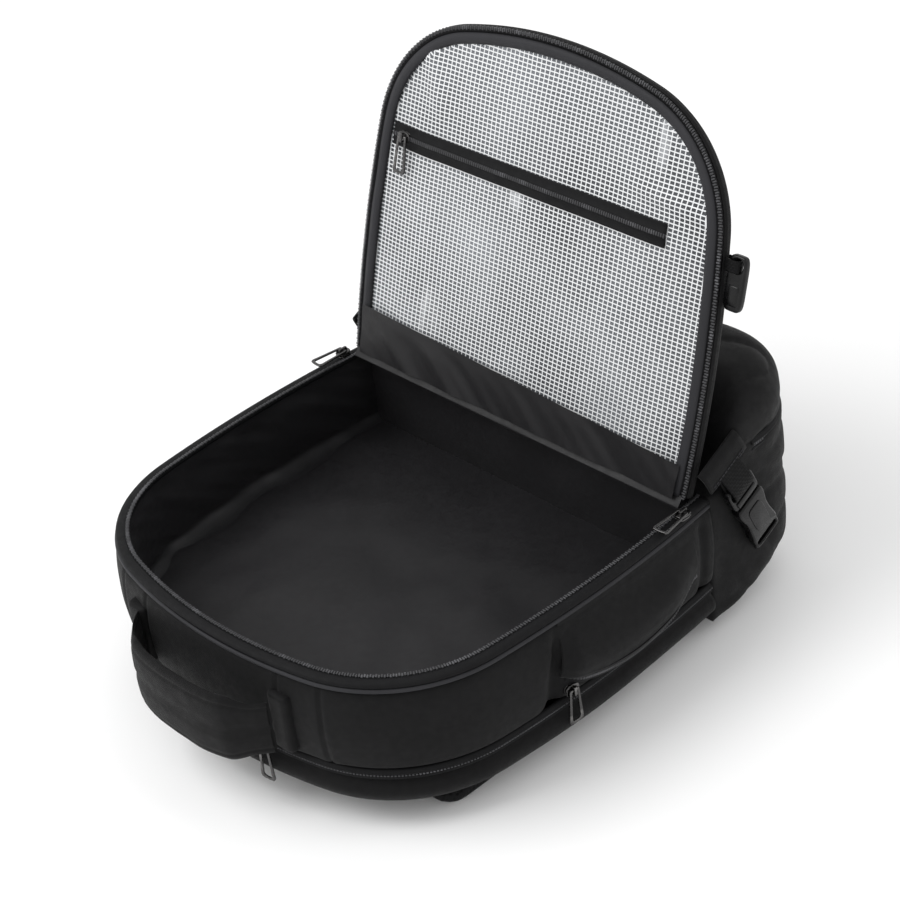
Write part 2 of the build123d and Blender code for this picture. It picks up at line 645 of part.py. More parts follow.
with BuildPart() as top_handle:
    add(handle_band(HANDLE_WIDTH))
    with Locations((0, AXIS_Y, HANDLE_Z)):
        Box(2 * HANDLE_PAD_HALF, TUB_LENGTH, HANDLE_WIDTH, mode=Mode.INTERSECT)
    add(handle_band(TONGUE_WIDTH))
    pin_x = HANDLE_HALF + HANDLE_ANCHOR / 2
    with Locations(Location((pin_x, AXIS_Y, HANDLE_Z), (0, 90, 0)),
                   Location((-pin_x, AXIS_Y, HANDLE_Z), (0, 90, 0))):
        Cylinder(HANDLE_PIN, 2 * HANDLE_ANCHOR)
save(top_handle, "top_handle")

with BuildPart() as handle_anchors:
    anchor_x = HANDLE_HALF + HANDLE_THICK / 2 + CLEARANCE + HANDLE_ANCHOR / 2
    front_y = AXIS_Y - HANDLE_AXIS_OUT
    with Locations((anchor_x, front_y, HANDLE_Z), (-anchor_x, front_y, HANDLE_Z)):
        Box(HANDLE_ANCHOR, HANDLE_REACH, HANDLE_ANCHOR_HEIGHT,
            align=(Align.CENTER, Align.MIN, Align.CENTER))
    extrude(outline(level(WALL_Z), 0), amount=WALL_TOP - WALL_Z, mode=Mode.SUBTRACT)
    with Locations(Location((0, AXIS_Y, HANDLE_Z), (0, 90, 0))):
        Cylinder(HANDLE_PIN + CLEARANCE / 4, TALL, mode=Mode.SUBTRACT)
save(handle_anchors, "handle_anchors")

# ---- Shoulder straps ----
STRAP_Y = NEAR_Y + STRAP_START
LOCK_Y = STRAP_Y + STRAP_LENGTH
for side in (RIGHT, LEFT):
    with BuildPart() as shoulder_strap:
        with BuildSketch(level(STRAP_LIFT)) as plate:
            with Locations((side * STRAP_X, STRAP_Y)):
                Rectangle(STRAP_WIDTH, STRAP_LENGTH, align=(Align.CENTER, Align.MIN))
            fillet(plate.vertices().group_by(Axis.Y)[-1], radius=STRAP_WIDTH / 3)
        extrude(amount=STRAP_THICK)
    save(shoulder_strap, f"shoulder_strap_{SIDE_NAMES[side]}")

    with BuildPart() as ladder_lock:
        with BuildSketch(level(STRAP_LIFT)) as frame:
            with Locations((side * STRAP_X, LOCK_Y)):
                Rectangle(LOCK_WIDTH, LOCK_LENGTH, align=(Align.CENTER, Align.MIN))
            fillet(frame.vertices(), radius=LOCK_BAR)
            slot = (LOCK_LENGTH - 3 * LOCK_BAR) / 2
            for start in (LOCK_BAR, 2 * LOCK_BAR + slot):
                with Locations((side * STRAP_X, LOCK_Y + start)):
                    Rectangle(WEBBING_WIDTH, slot, align=(Align.CENTER, Align.MIN),
                              mode=Mode.SUBTRACT)
        extrude(amount=LOCK_THICK)
    save(ladder_lock, f"ladder_lock_{SIDE_NAMES[side]}")

with BuildPart() as strap_anchors:
    tail_y = LOCK_Y + LOCK_LENGTH + CLEARANCE
    anchor_y = JOINT_Y - ANCHOR_LENGTH
    for x in (STRAP_X, -STRAP_X):
        with Locations((x, STRAP_Y - CLEARANCE, BACK_Z)):
            Box(STRAP_WIDTH, ANCHOR_LENGTH, STRAP_THICK, align=(Align.CENTER, Align.MAX, Align.MAX))
        with Locations((x, anchor_y, BACK_Z)):
            Box(WEBBING_WIDTH, ANCHOR_LENGTH, STRAP_THICK,
                align=(Align.CENTER, Align.MIN, Align.MAX))
        with Locations((x, tail_y, LOCK_THICK)):
            Box(WEBBING_WIDTH, anchor_y - tail_y, WEBBING,
                align=(Align.CENTER, Align.MIN, Align.MAX))
save(strap_anchors, "strap_anchors")

# ---- Zip sliders and their pullers ----


def add_slider(name, seat, hang):
    """Slider on its zip, and the ring puller that hangs from its bridge."""
    with BuildPart() as slider:
        with BuildSketch(seat):
            RectangleRounded(SLIDER_LENGTH, SLIDER_WIDTH, SLIDER_WIDTH / 3)
        extrude(amount=SLIDER_BODY)
        with BuildSketch(hang):
            Rectangle(BRIDGE_LENGTH, BRIDGE_WIDTH)
        extrude(amount=BRIDGE_TOP)
        with BuildSketch(hang.offset(SLIDER_BODY)):
            Rectangle(BRIDGE_GAP, 2 * BRIDGE_WIDTH)
        extrude(amount=BRIDGE_TOP - SLIDER_BODY - BRIDGE_WALL, mode=Mode.SUBTRACT)
    save(slider, f"{name}_slider")

    with BuildPart() as puller:
        with BuildSketch(hang.offset(PULL_AXIS - PULL_BAR / 2)):
            half, inner = PULL_BAR / 2, PULL_RIM
            with BuildLine():
                Polyline((-half, -PULL_NECK / 2), (PULL_LENGTH, -PULL_FOOT / 2),
                         (PULL_LENGTH, PULL_FOOT / 2), (-half, PULL_NECK / 2), close=True)
            make_face()
            with BuildLine():
                Polyline((half, inner - PULL_NECK / 2),
                         (PULL_LENGTH - inner, inner - PULL_FOOT / 2),
                         (PULL_LENGTH - inner, PULL_FOOT / 2 - inner),
                         (half, PULL_NECK / 2 - inner), close=True)
            make_face(mode=Mode.SUBTRACT)
        extrude(amount=PULL_BAR)
    save(puller, f"{name}_puller")


for side in (RIGHT, LEFT):
    coil_inset = (RIM_WIDTH - RIM_OVERHANG) / 4
    edge = side_plane(JOINT_Y - MAIN_SLIDER_FROM_BASE, RIM_HEIGHT, coil_inset, side)
    rim_seat = Plane(origin=edge.origin, x_dir=edge.x_dir, z_dir=(0, 0, 1)).offset(ZIP_SEAT_GAP)
    add_slider(f"main_{SIDE_NAMES[side]}", rim_seat, rim_seat)

    zip_y = POCKET_NEAR + SLIDER_LENGTH / 2
    side_seat = side_plane(zip_y, SIDE_ZIP_Z + ZIP_HEIGHT / 2, -ZIP_PROUD, side)
    side_seat = side_seat.offset(ZIP_SEAT_GAP)
    down = Plane(origin=side_seat.origin, x_dir=(0, 0, -1), z_dir=side_seat.z_dir)
    add_slider(f"side_{SIDE_NAMES[side]}", side_seat, down)

end_turn = asin(LAPTOP_SLIDER_X / END_RADIUS)
end_normal = (sin(end_turn), -cos(end_turn), 0)
end_reach = END_RADIUS + ZIP_PROUD + ZIP_SEAT_GAP
laptop_origin = (end_reach * end_normal[0], END_CENTRE.Y + end_reach * end_normal[1],
                 LAPTOP_ZIP_Z + ZIP_HEIGHT / 2)
laptop_seat = Plane(origin=laptop_origin, x_dir=(cos(end_turn), sin(end_turn), 0),
                    z_dir=end_normal)
add_slider("laptop", laptop_seat, Plane(origin=laptop_origin, x_dir=(0, 0, -1), z_dir=end_normal))

base_origin = (BASE_SLIDER_X, BASE_END_Y + ZIP_PROUD + ZIP_SEAT_GAP, BASE_ZIP_Z + ZIP_HEIGHT / 2)
base_seat = Plane(origin=base_origin, x_dir=(1, 0, 0), z_dir=(0, 1, 0))
add_slider("base", base_seat, Plane(origin=base_origin, x_dir=(0, 0, -1), z_dir=(0, 1, 0)))

lid_out = lid_level(0).z_dir
lid_down = lid_level(0).y_dir
mesh_level = lid_level(MESH - ZIP_SEAT_GAP)
mesh_origin = mesh_level.from_local_coords(Vector(MESH_SLIDER_X, MESH_ZIP_Y, 0))
mesh_seat = Plane(origin=mesh_origin, x_dir=(1, 0, 0), z_dir=-lid_out)
add_slider("mesh", mesh_seat, Plane(origin=mesh_origin, x_dir=lid_down, z_dir=-lid_out))

front_level = LID_TOP + FRONT_ZIP_THICK + ZIP_SEAT_GAP
front_origin = lid_level(front_level).from_local_coords(
    Vector(FRONT_ZIP_X, FRONT_ZIP_Y - SLIDER_LENGTH, 0))
front_seat = Plane(origin=front_origin, x_dir=lid_down, z_dir=lid_out)
add_slider("front", front_seat, front_seat)
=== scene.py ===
# %% [markdown]
# # An open travel backpack
# The bag lies on its back panel with the main lid swung up. A CAD model holds every size
# and every moving body, and this lesson dresses it: cloth, lining, mesh, straps, zips and
# buckles. The model is loaded first, and everything that follows reads its places from it.

# %% Load the CAD frame
import json

import bmesh
import bpy
from math import asin, atan2, cos, exp, pi, radians, sin, sqrt
from mathutils import Matrix, Vector, noise


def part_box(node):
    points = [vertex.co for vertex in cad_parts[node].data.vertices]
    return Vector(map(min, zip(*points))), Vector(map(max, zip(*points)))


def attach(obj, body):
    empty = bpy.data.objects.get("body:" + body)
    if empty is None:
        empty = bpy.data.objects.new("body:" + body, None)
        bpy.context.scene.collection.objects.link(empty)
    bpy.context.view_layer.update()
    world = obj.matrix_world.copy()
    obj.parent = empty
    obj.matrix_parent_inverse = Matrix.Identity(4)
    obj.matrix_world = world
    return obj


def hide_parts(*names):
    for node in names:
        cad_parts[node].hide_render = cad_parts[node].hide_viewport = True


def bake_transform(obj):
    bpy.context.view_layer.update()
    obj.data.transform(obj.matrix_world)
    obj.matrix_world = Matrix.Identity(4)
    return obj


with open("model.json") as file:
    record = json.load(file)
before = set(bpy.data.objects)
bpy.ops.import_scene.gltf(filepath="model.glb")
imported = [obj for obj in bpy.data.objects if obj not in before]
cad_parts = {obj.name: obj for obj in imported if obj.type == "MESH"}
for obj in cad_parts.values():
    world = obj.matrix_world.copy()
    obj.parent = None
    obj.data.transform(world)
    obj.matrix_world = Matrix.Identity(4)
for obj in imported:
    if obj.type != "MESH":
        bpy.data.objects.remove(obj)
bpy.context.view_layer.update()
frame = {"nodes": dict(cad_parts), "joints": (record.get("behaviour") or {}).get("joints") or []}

# %% [markdown]
# ## The outline
# Seen from above, the main compartment is a U of three arcs on each side: a long shallow
# one down the side, a tight one at the corner and a shallow one across the handle end.
# Every wall, rim and zip follows it, so the outline becomes a small set of functions. A
# place on it is named by its girth, the distance walked along the U from the handle.

# %% Outline of the compartment
WALL_LOW, WALL_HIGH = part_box("main_wall")
NEAR, JOINT, HALF = WALL_LOW.y, WALL_HIGH.y, WALL_HIGH.x
RIM_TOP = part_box("rim_zip")[1].z
SIDE_R, CORNER_R, END_R = 0.980, 0.100, 0.370
SIDE_C = Vector((HALF - SIDE_R, JOINT - 0.098, 0))
END_C = Vector((0, NEAR + END_R, 0))


def corner_centre():
    """Centre of the corner arc, which touches the side arc and the end arc."""
    to_side, to_end, gap = SIDE_R - CORNER_R, END_R - CORNER_R, END_C - SIDE_C
    along = (to_side**2 - to_end**2 + gap.length**2) / (2 * gap.length)
    unit = gap.normalized()
    return SIDE_C + unit * along + Vector((unit.y, -unit.x, 0)) * sqrt(to_side**2 - along**2)


CORNER_C = corner_centre()
SIDE_TURN = asin((JOINT - SIDE_C.y) / SIDE_R)
CORNER_TURN = atan2(CORNER_C.y - SIDE_C.y, CORNER_C.x - SIDE_C.x)
END_TURN = atan2(CORNER_C.y - END_C.y, CORNER_C.x - END_C.x)
END_HALF = END_R * (pi / 2 + END_TURN)
CORNER_LEN = CORNER_R * (CORNER_TURN - END_TURN)
GIRTH = END_HALF + CORNER_LEN + SIDE_R * (SIDE_TURN - CORNER_TURN)


def on_outline(girth, out=0.0, z=0.0):
    """Point at this girth, moved outwards, at height z. Negative girths are on the left."""
    walked = abs(girth)
    if walked < END_HALF:
        centre, reach, turn = END_C, END_R, walked / END_R - pi / 2
    elif walked < END_HALF + CORNER_LEN:
        centre, reach, turn = CORNER_C, CORNER_R, END_TURN + (walked - END_HALF) / CORNER_R
    else:
        centre, reach = SIDE_C, SIDE_R
        turn = CORNER_TURN + (walked - END_HALF - CORNER_LEN) / SIDE_R
    x = centre.x + (reach + out) * cos(turn)
    return Vector((x if girth >= 0 else -x, centre.y + (reach + out) * sin(turn), z))


def girth_at(y):
    """Girth of the place on the right side at this y."""
    return END_HALF + CORNER_LEN + SIDE_R * (asin((y - SIDE_C.y) / SIDE_R) - CORNER_TURN)


def side_half(y, inset=0.0):
    """Half width of the outline at this y, for the straight part of the side."""
    return SIDE_C.x + (SIDE_R - inset) * cos(asin((y - SIDE_C.y) / (SIDE_R - inset)))


def inside_by(x, y):
    """How far a point lies inside the outline, measured square to it."""
    p = Vector((abs(x), y, 0))
    turn_end = atan2(p.y - END_C.y, p.x - END_C.x)
    turn_side = atan2(p.y - SIDE_C.y, p.x - SIDE_C.x)
    if turn_end < END_TURN:
        return END_R - (p - END_C).length
    if turn_side > CORNER_TURN:
        return SIDE_R - (p - SIDE_C).length
    return CORNER_R - (p - CORNER_C).length


print("girth from handle to base", round(GIRTH, 4), "corner centre", CORNER_C)

# %% [markdown]
# ## The lid's own plan
# The lid is easiest to draw shut, lying on the rim, because it shares the outline. Its
# pieces are built there and then turned about the hinge by the angle that the joint allows,
# which is how far the CAD lid stands open.

# %% Where the lid stands
LID_JOINT = next(j for j in frame["joints"] if j["name"] == "lid_hinge")
OPEN = radians(LID_JOINT["range_deg"][1])
HINGE = Vector((0, JOINT - 0.018, RIM_TOP + 0.001))
LID_FAR = HINGE.y - 0.005
OPEN_LID = Matrix.Rotation(-OPEN, 4, "X")


def lid_point(x, from_hinge, depth):
    """Point of the open lid: across, up from the hinge, and behind its inner face."""
    shut = Vector((x, -from_hinge, depth))
    return HINGE + OPEN_LID @ shut


print("lid opens to", LID_JOINT["range_deg"], "and its tip is at", lid_point(0, 0.26, 0))

# %% [markdown]
# ## Camera, floor and light
# The camera stands in front of the right corner and looks down on it, with a long lens so
# that the box of the bag hardly converges. A pale floor and a bright even sky give the soft
# light of a studio, and one large panel adds the gentle highlights that show where black
# cloth folds.

# %% Camera
AZIMUTH, ELEVATION, ROLL = radians(48.97), radians(34.36), radians(-6.64)
DISTANCE, LENS = 1.6712, 91.97
back = Vector((sin(AZIMUTH) * cos(ELEVATION), -cos(AZIMUTH) * cos(ELEVATION), sin(ELEVATION)))
level_right = Vector((cos(AZIMUTH), sin(AZIMUTH), 0))
level_up = back.cross(level_right)
right = level_right * cos(ROLL) + level_up * sin(ROLL)
up = level_up * cos(ROLL) - level_right * sin(ROLL)
camera = bpy.data.objects.new("camera", bpy.data.cameras.new("camera"))
bpy.context.scene.collection.objects.link(camera)
place = back * DISTANCE - right * 0.06519 + up * 0.07217 + Vector((0, JOINT, 0))
camera.matrix_world = Matrix.Translation(place) @ Matrix((right, up, back)).transposed().to_4x4()
camera.data.lens, camera.data.sensor_width = LENS, 36.0
camera.data.clip_end = 50
bpy.context.scene.camera = camera
print("camera at", camera.location)


# %% Floor and lights
def light_panel(name, size, power, place, aim):
    """Square area light that faces a point."""
    panel = bpy.data.lights.new(name, "AREA")
    panel.size, panel.energy = size, power
    lamp = bpy.data.objects.new(name, panel)
    bpy.context.scene.collection.objects.link(lamp)
    lamp.location = place
    lamp.rotation_mode = "QUATERNION"
    lamp.rotation_quaternion = (Vector(place) - Vector(aim)).to_track_quat("Z", "Y")
    return lamp


world = bpy.data.worlds.new("studio")
bpy.context.scene.world = world
world.use_nodes = True
world.node_tree.nodes["Background"].inputs[0].default_value = (1, 1, 1, 1)
world.node_tree.nodes["Background"].inputs[1].default_value = 0.9
light_panel("key_panel", 1.6, 34, (-0.9, -1.3, 2.0), (0, 0, 0.1))
light_panel("rim_panel", 1.2, 5, (1.6, 1.2, 1.7), (0, 0.1, 0.15))
bpy.context.scene.view_settings.view_transform = "Standard"

# %% [markdown]
# ## Shared effects for the finishes
# Three effects return in many finishes, so each is a node group with named sockets. Weave
# makes threads that pass over and under each other, mottle gives slow patches that keep a
# cloth from looking painted, and scuffs gives the fine scratches of handled plastic and
# metal. Each group gives masks only, and every finish keeps its own shader.


# %% Node group helpers
def new_group(name, inputs, outputs):
    """Empty shader group with float or vector sockets, and its input and output nodes."""
    group = bpy.data.node_groups.new(name, "ShaderNodeTree")
    for label, kind, value in inputs:
        socket = group.interface.new_socket(label, in_out="INPUT", socket_type=kind)
        if value is not None:
            socket.default_value = value
    for label in outputs:
        group.interface.new_socket(label, in_out="OUTPUT", socket_type="NodeSocketFloat")
    enter, leave = group.nodes.new("NodeGroupInput"), group.nodes.new("NodeGroupOutput")
    return group, enter, leave


def wire(tree, *pairs):
    """Links pairs of sockets."""
    for a, b in pairs:
        tree.links.new(a, b)


def maths(tree, operation, a, b=None, c=None):
    """Math node; a, b and c are sockets or numbers. Returns its output."""
    node = tree.nodes.new("ShaderNodeMath")
    node.operation = operation
    for socket, value in zip(node.inputs, (a, b, c)):
        if isinstance(value, (int, float)):
            socket.default_value = value
        elif value is not None:
            tree.links.new(value, socket)
    return node.outputs[0]


# %% Weave, mottle and scuffs
def make_weave():
    """Plain weave: rounded threads both ways, swapped in a chequer of overs and unders."""
    group, enter, leave = new_group(
        "weave", [("Vector", "NodeSocketVector", None), ("Threads", "NodeSocketFloat", 1500.0)],
        ["Height", "Gap"])
    split = group.nodes.new("ShaderNodeSeparateXYZ")
    wire(group, (enter.outputs["Vector"], split.inputs[0]))
    cells, threads = [], []
    for axis in (0, 1):
        counted = maths(group, "MULTIPLY", split.outputs[axis], enter.outputs["Threads"])
        across = maths(group, "FRACT", counted)
        centred = maths(group, "SUBTRACT", across, 0.5)
        square = maths(group, "MULTIPLY", centred, centred)
        threads.append(maths(group, "MULTIPLY_ADD", square, -4.0, 1.0))
        cells.append(maths(group, "FLOOR", counted))
    pair = maths(group, "ADD", cells[0], cells[1])
    over = maths(group, "FRACT", maths(group, "MULTIPLY", pair, 0.5))
    flag = maths(group, "GREATER_THAN", over, 0.25)
    swap = maths(group, "SUBTRACT", threads[1], threads[0])
    height = maths(group, "MULTIPLY_ADD", swap, flag, threads[0])
    gap = maths(group, "SUBTRACT", 1.0, maths(group, "MAXIMUM", threads[0], threads[1]))
    wire(group, (height, leave.inputs["Height"]), (gap, leave.inputs["Gap"]))
    return group


def make_mottle():
    """Slow patches: two sizes of noise added together, from 0 to 1."""
    group, enter, leave = new_group(
        "mottle", [("Vector", "NodeSocketVector", None), ("Scale", "NodeSocketFloat", 14.0)],
        ["Patches", "Fine"])
    for label, ratio, detail in (("Patches", 1.0, 3.0), ("Fine", 14.0, 4.0)):
        cloud = group.nodes.new("ShaderNodeTexNoise")
        cloud.inputs["Detail"].default_value = detail
        wire(group, (enter.outputs["Vector"], cloud.inputs["Vector"]),
             (maths(group, "MULTIPLY", enter.outputs["Scale"], ratio), cloud.inputs["Scale"]),
             (cloud.outputs["Fac"], leave.inputs[label]))
    return group


def make_scuffs():
    """Fine directional scratches: noise squeezed along one axis and cut to thin lines."""
    group, enter, leave = new_group(
        "scuffs", [("Vector", "NodeSocketVector", None), ("Scale", "NodeSocketFloat", 90.0)],
        ["Lines"])
    squeeze = group.nodes.new("ShaderNodeVectorMath")
    squeeze.operation = "MULTIPLY"
    squeeze.inputs[1].default_value = (1.0, 0.12, 1.0)
    cloud = group.nodes.new("ShaderNodeTexNoise")
    cloud.inputs["Detail"].default_value = 5.0
    wire(group, (enter.outputs["Vector"], squeeze.inputs[0]),
         (squeeze.outputs[0], cloud.inputs["Vector"]),
         (enter.outputs["Scale"], cloud.inputs["Scale"]))
    ramp = group.nodes.new("ShaderNodeMapRange")
    ramp.inputs["From Min"].default_value, ramp.inputs["From Max"].default_value = 0.52, 0.7
    wire(group, (cloud.outputs["Fac"], ramp.inputs[0]), (ramp.outputs[0], leave.inputs["Lines"]))
    return group


WEAVE, MOTTLE, SCUFFS = make_weave(), make_mottle(), make_scuffs()
print("groups", [g.name for g in bpy.data.node_groups])

# %% [markdown]
# ## The finishes
# The bag is black all over, so its finishes differ in how they catch light: the outer cloth
# is smooth and dull with a faint sheen, the lining is a thin shiny nylon, webbing is coarse,
# and the plastic and metal parts are the only glossy ones.


# %% Finish helpers
def new_finish(name, roughness, **constants):
    """Material with a Principled shader; constants go on the shader's own sockets."""
    material = bpy.data.materials.new(name)
    material.use_nodes = True
    shader = material.node_tree.nodes["Principled BSDF"]
    shader.inputs["Roughness"].default_value = roughness
    for socket, value in constants.items():
        shader.inputs[socket.replace("_", " ")].default_value = value
    return material, material.node_tree, shader


def use_group(tree, group, vector, **values):
    """Places a node group, fed by a vector."""
    node = tree.nodes.new("ShaderNodeGroup")
    node.node_tree = group
    tree.links.new(vector, node.inputs["Vector"])
    for socket, value in values.items():
        node.inputs[socket].default_value = value
    return node


def mixed(tree, fac, low, high):
    """Colour between two, by a mask."""
    node = tree.nodes.new("ShaderNodeMix")
    node.data_type = "RGBA"
    node.inputs["A"].default_value, node.inputs["B"].default_value = (*low, 1), (*high, 1)
    tree.links.new(fac, node.inputs["Factor"])
    return node.outputs["Result"]


def bump(tree, shader, height, strength, distance):
    """Bump node that feeds the shader's normal."""
    node = tree.nodes.new("ShaderNodeBump")
    node.inputs["Strength"].default_value = strength
    node.inputs["Distance"].default_value = distance
    wire(tree, (height, node.inputs["Height"]), (node.outputs["Normal"], shader.inputs["Normal"]))
    return node


def ranged(tree, value, low, high):
    """Mask stretched to run from low to high."""
    node = tree.nodes.new("ShaderNodeMapRange")
    node.inputs["From Min"].default_value, node.inputs["From Max"].default_value = 0.3, 0.7
    node.inputs["To Min"].default_value, node.inputs["To Max"].default_value = low, high
    tree.links.new(value, node.inputs[0])
    return node.outputs[0]


def cloth(name, dark, light, rough, threads, depth, sheen=0.0, by_uv=False, shine=0.12):
    """Woven finish. Threads run along the piece's UV map, or along turned object axes."""
    material, tree, shader = new_finish(name, sum(rough) / 2, Sheen_Weight=sheen,
                                        Sheen_Roughness=0.45, Specular_IOR_Level=shine)
    coordinates = tree.nodes.new("ShaderNodeTexCoord")
    turned = tree.nodes.new("ShaderNodeMapping")
    turned.inputs["Rotation"].default_value = (0, 0, 0) if by_uv else (0.62, 0.78, 0.2)
    source = coordinates.outputs["UV" if by_uv else "Object"]
    wire(tree, (source, turned.inputs["Vector"]))
    weave = use_group(tree, WEAVE, turned.outputs[0], Threads=threads)
    mottle = use_group(tree, MOTTLE, coordinates.outputs["Object"])
    wire(tree, (mixed(tree, mottle.outputs["Patches"], dark, light), shader.inputs["Base Color"]),
         (ranged(tree, mottle.outputs["Fine"], *rough), shader.inputs["Roughness"]))
    bump(tree, shader, weave.outputs["Height"], 0.6, depth)
    return material


# %% Cloth finishes
SHELL = cloth("shell_cloth", (0.0032, 0.0032, 0.0035), (0.0062, 0.0060, 0.0063), (0.58, 0.72),
              1700, 0.00012, sheen=0.04)
SHELL_UV = cloth("shell_cloth_laid", (0.0032, 0.0032, 0.0035), (0.0062, 0.0060, 0.0063),
                 (0.58, 0.72), 1700, 0.00012, sheen=0.04, by_uv=True)
LINING = cloth("lining_nylon", (0.0080, 0.0077, 0.0084), (0.0150, 0.0144, 0.0158), (0.34, 0.50),
               2600, 0.00005, sheen=0.02, by_uv=True, shine=0.26)
BINDING = cloth("binding_tape", (0.020, 0.020, 0.022), (0.038, 0.038, 0.042), (0.42, 0.55),
                1400, 0.0001, by_uv=True)
ZIP_TAPE = cloth("zip_tape", (0.0048, 0.0048, 0.0052), (0.0085, 0.0085, 0.0092), (0.5, 0.65),
                 1250, 0.00012, by_uv=True)
WEBBING = cloth("strap_webbing", (0.0024, 0.0024, 0.0026), (0.0050, 0.0050, 0.0053), (0.45, 0.6),
                620, 0.00035, by_uv=True)
print("cloth finishes", [m.name for m in bpy.data.materials if m.users == 0])


# %% Plastic, metal and spacer mesh
def hard(name, dark, light, rough, metal=0.0):
    """Moulded plastic or plated metal, dulled along fine scuffs."""
    material, tree, shader = new_finish(name, rough[0], Metallic=metal,
                                        Specular_IOR_Level=0.28)
    coordinates = tree.nodes.new("ShaderNodeTexCoord")
    scuffs = use_group(tree, SCUFFS, coordinates.outputs["Object"])
    mottle = use_group(tree, MOTTLE, coordinates.outputs["Object"], Scale=60.0)
    wire(tree, (mixed(tree, scuffs.outputs["Lines"], dark, light), shader.inputs["Base Color"]),
         (ranged(tree, mottle.outputs["Fine"], *rough), shader.inputs["Roughness"]))
    bump(tree, shader, scuffs.outputs["Lines"], 0.15, 0.0001)
    return material


BUCKLE = hard("buckle_plastic", (0.0022, 0.0022, 0.0024), (0.0070, 0.0070, 0.0075), (0.24, 0.34))
COIL = hard("zip_coil", (0.045, 0.045, 0.048), (0.10, 0.10, 0.107), (0.25, 0.4))
GUNMETAL = hard("gunmetal", (0.09, 0.088, 0.088), (0.22, 0.215, 0.21), (0.2, 0.34), metal=1.0)


def make_air_mesh():
    """Knitted spacer mesh: rows of small round holes in thick black cloth, bumped in and darkened
    towards their middles as painted shade.
    """
    material, tree, shader = new_finish("air_mesh", 0.75, Specular_IOR_Level=0.12,
                                        Sheen_Weight=0.03)
    coordinates = tree.nodes.new("ShaderNodeTexCoord")
    holes = tree.nodes.new("ShaderNodeTexVoronoi")
    holes.inputs["Scale"].default_value = 330.0
    holes.inputs["Randomness"].default_value = 0.25
    mottle = use_group(tree, MOTTLE, coordinates.outputs["Object"])
    wire(tree, (coordinates.outputs["Object"], holes.inputs["Vector"]))
    rim = tree.nodes.new("ShaderNodeMapRange")
    rim.inputs["From Min"].default_value, rim.inputs["From Max"].default_value = 0.15, 0.5
    # Painted shade: the colour darkens towards each hole's middle as the shade inside it, with fine
    # random tone from the mottle.
    shade = maths(tree, "MULTIPLY", rim.outputs[0], ranged(tree, mottle.outputs["Fine"], 0.7, 1.0))
    wire(tree, (holes.outputs["Distance"], rim.inputs[0]),
         (mixed(tree, shade, (0.0015, 0.0015, 0.0015), (0.0085, 0.0085, 0.009)),
          shader.inputs["Base Color"]))
    bump(tree, shader, rim.outputs[0], 0.8, 0.0006)
    return material


AIR_MESH = make_air_mesh()

# %% [markdown]
# ### Clear film with a white grid
# The pocket inside the lid is a clear vinyl film with white threads laid across each other
# in it. Modelling thousands of threads would be heavy and would flicker, so the threads are
# a mask: the film's UV map is in metres, and a thread shows where the distance along it is
# close to a multiple of the pitch. Between threads the film is thin milky plastic, given by
# its alpha, so that the dark lining shows through it. Long patches of painted highlight turn
# the film white and opaque, standing in for glare off its wrinkles.


# %% Grid film
PITCH_X, PITCH_Y, THREAD = 0.0040, 0.0030, 0.00088


def make_film():
    """Clear film; threads are opaque and white, the film between them is milky, and stretched
    patches of painted highlight are white and opaque too.
    """
    material, tree, shader = new_finish("grid_film", 0.2, Specular_IOR_Level=0.6,
                                        Coat_Weight=0.7, Coat_Roughness=0.08)
    coordinates = tree.nodes.new("ShaderNodeTexCoord")
    split = tree.nodes.new("ShaderNodeSeparateXYZ")
    wire(tree, (coordinates.outputs["UV"], split.inputs[0]))
    masks = []
    for axis, pitch in ((0, PITCH_X), (1, PITCH_Y)):
        counted = maths(tree, "FRACT", maths(tree, "MULTIPLY", split.outputs[axis], 1 / pitch))
        off = maths(tree, "ABSOLUTE", maths(tree, "SUBTRACT", counted, 0.5))
        soft = tree.nodes.new("ShaderNodeMapRange")
        edge = 0.5 * THREAD / pitch
        soft.inputs["From Min"].default_value = 0.5 - edge * 1.25
        soft.inputs["From Max"].default_value = 0.5 - edge * 0.75
        wire(tree, (off, soft.inputs[0]))
        masks.append(soft.outputs[0])
    grid = maths(tree, "MAXIMUM", *masks)
    mottle = use_group(tree, MOTTLE, coordinates.outputs["Object"], Scale=9.0)
    milk = ranged(tree, mottle.outputs["Patches"], 0.06, 0.42)
    # Painted highlight: stretched noise patches, cut by flare, turn the film white and opaque where
    # glare off its wrinkles would be.
    painted_glare_stretch = tree.nodes.new("ShaderNodeMapping")
    painted_glare_stretch.inputs["Scale"].default_value = (2.6, 0.9, 0.9)
    painted_glare_noise = use_group(tree, MOTTLE, painted_glare_stretch.outputs[0], Scale=8.5)
    flare = tree.nodes.new("ShaderNodeMapRange")
    flare.inputs["From Min"].default_value, flare.inputs["From Max"].default_value = 0.60, 0.70
    flare.inputs["To Max"].default_value = 0.62
    wire(tree, (coordinates.outputs["Object"], painted_glare_stretch.inputs["Vector"]),
         (painted_glare_noise.outputs["Patches"], flare.inputs[0]))
    # Alpha and colour take the threads, the milky film and the painted highlight of flare.
    opaque = maths(tree, "MAXIMUM", maths(tree, "MAXIMUM", grid, milk), flare.outputs[0])
    wire(tree, (opaque, shader.inputs["Alpha"]),
         (mixed(tree, maths(tree, "MAXIMUM", grid, flare.outputs[0]), (0.46, 0.49, 0.53),
               (0.74, 0.75, 0.76)), shader.inputs["Base Color"]))
    bump(tree, shader, grid, 0.35, 0.0003)
    return material


FILM = make_film()


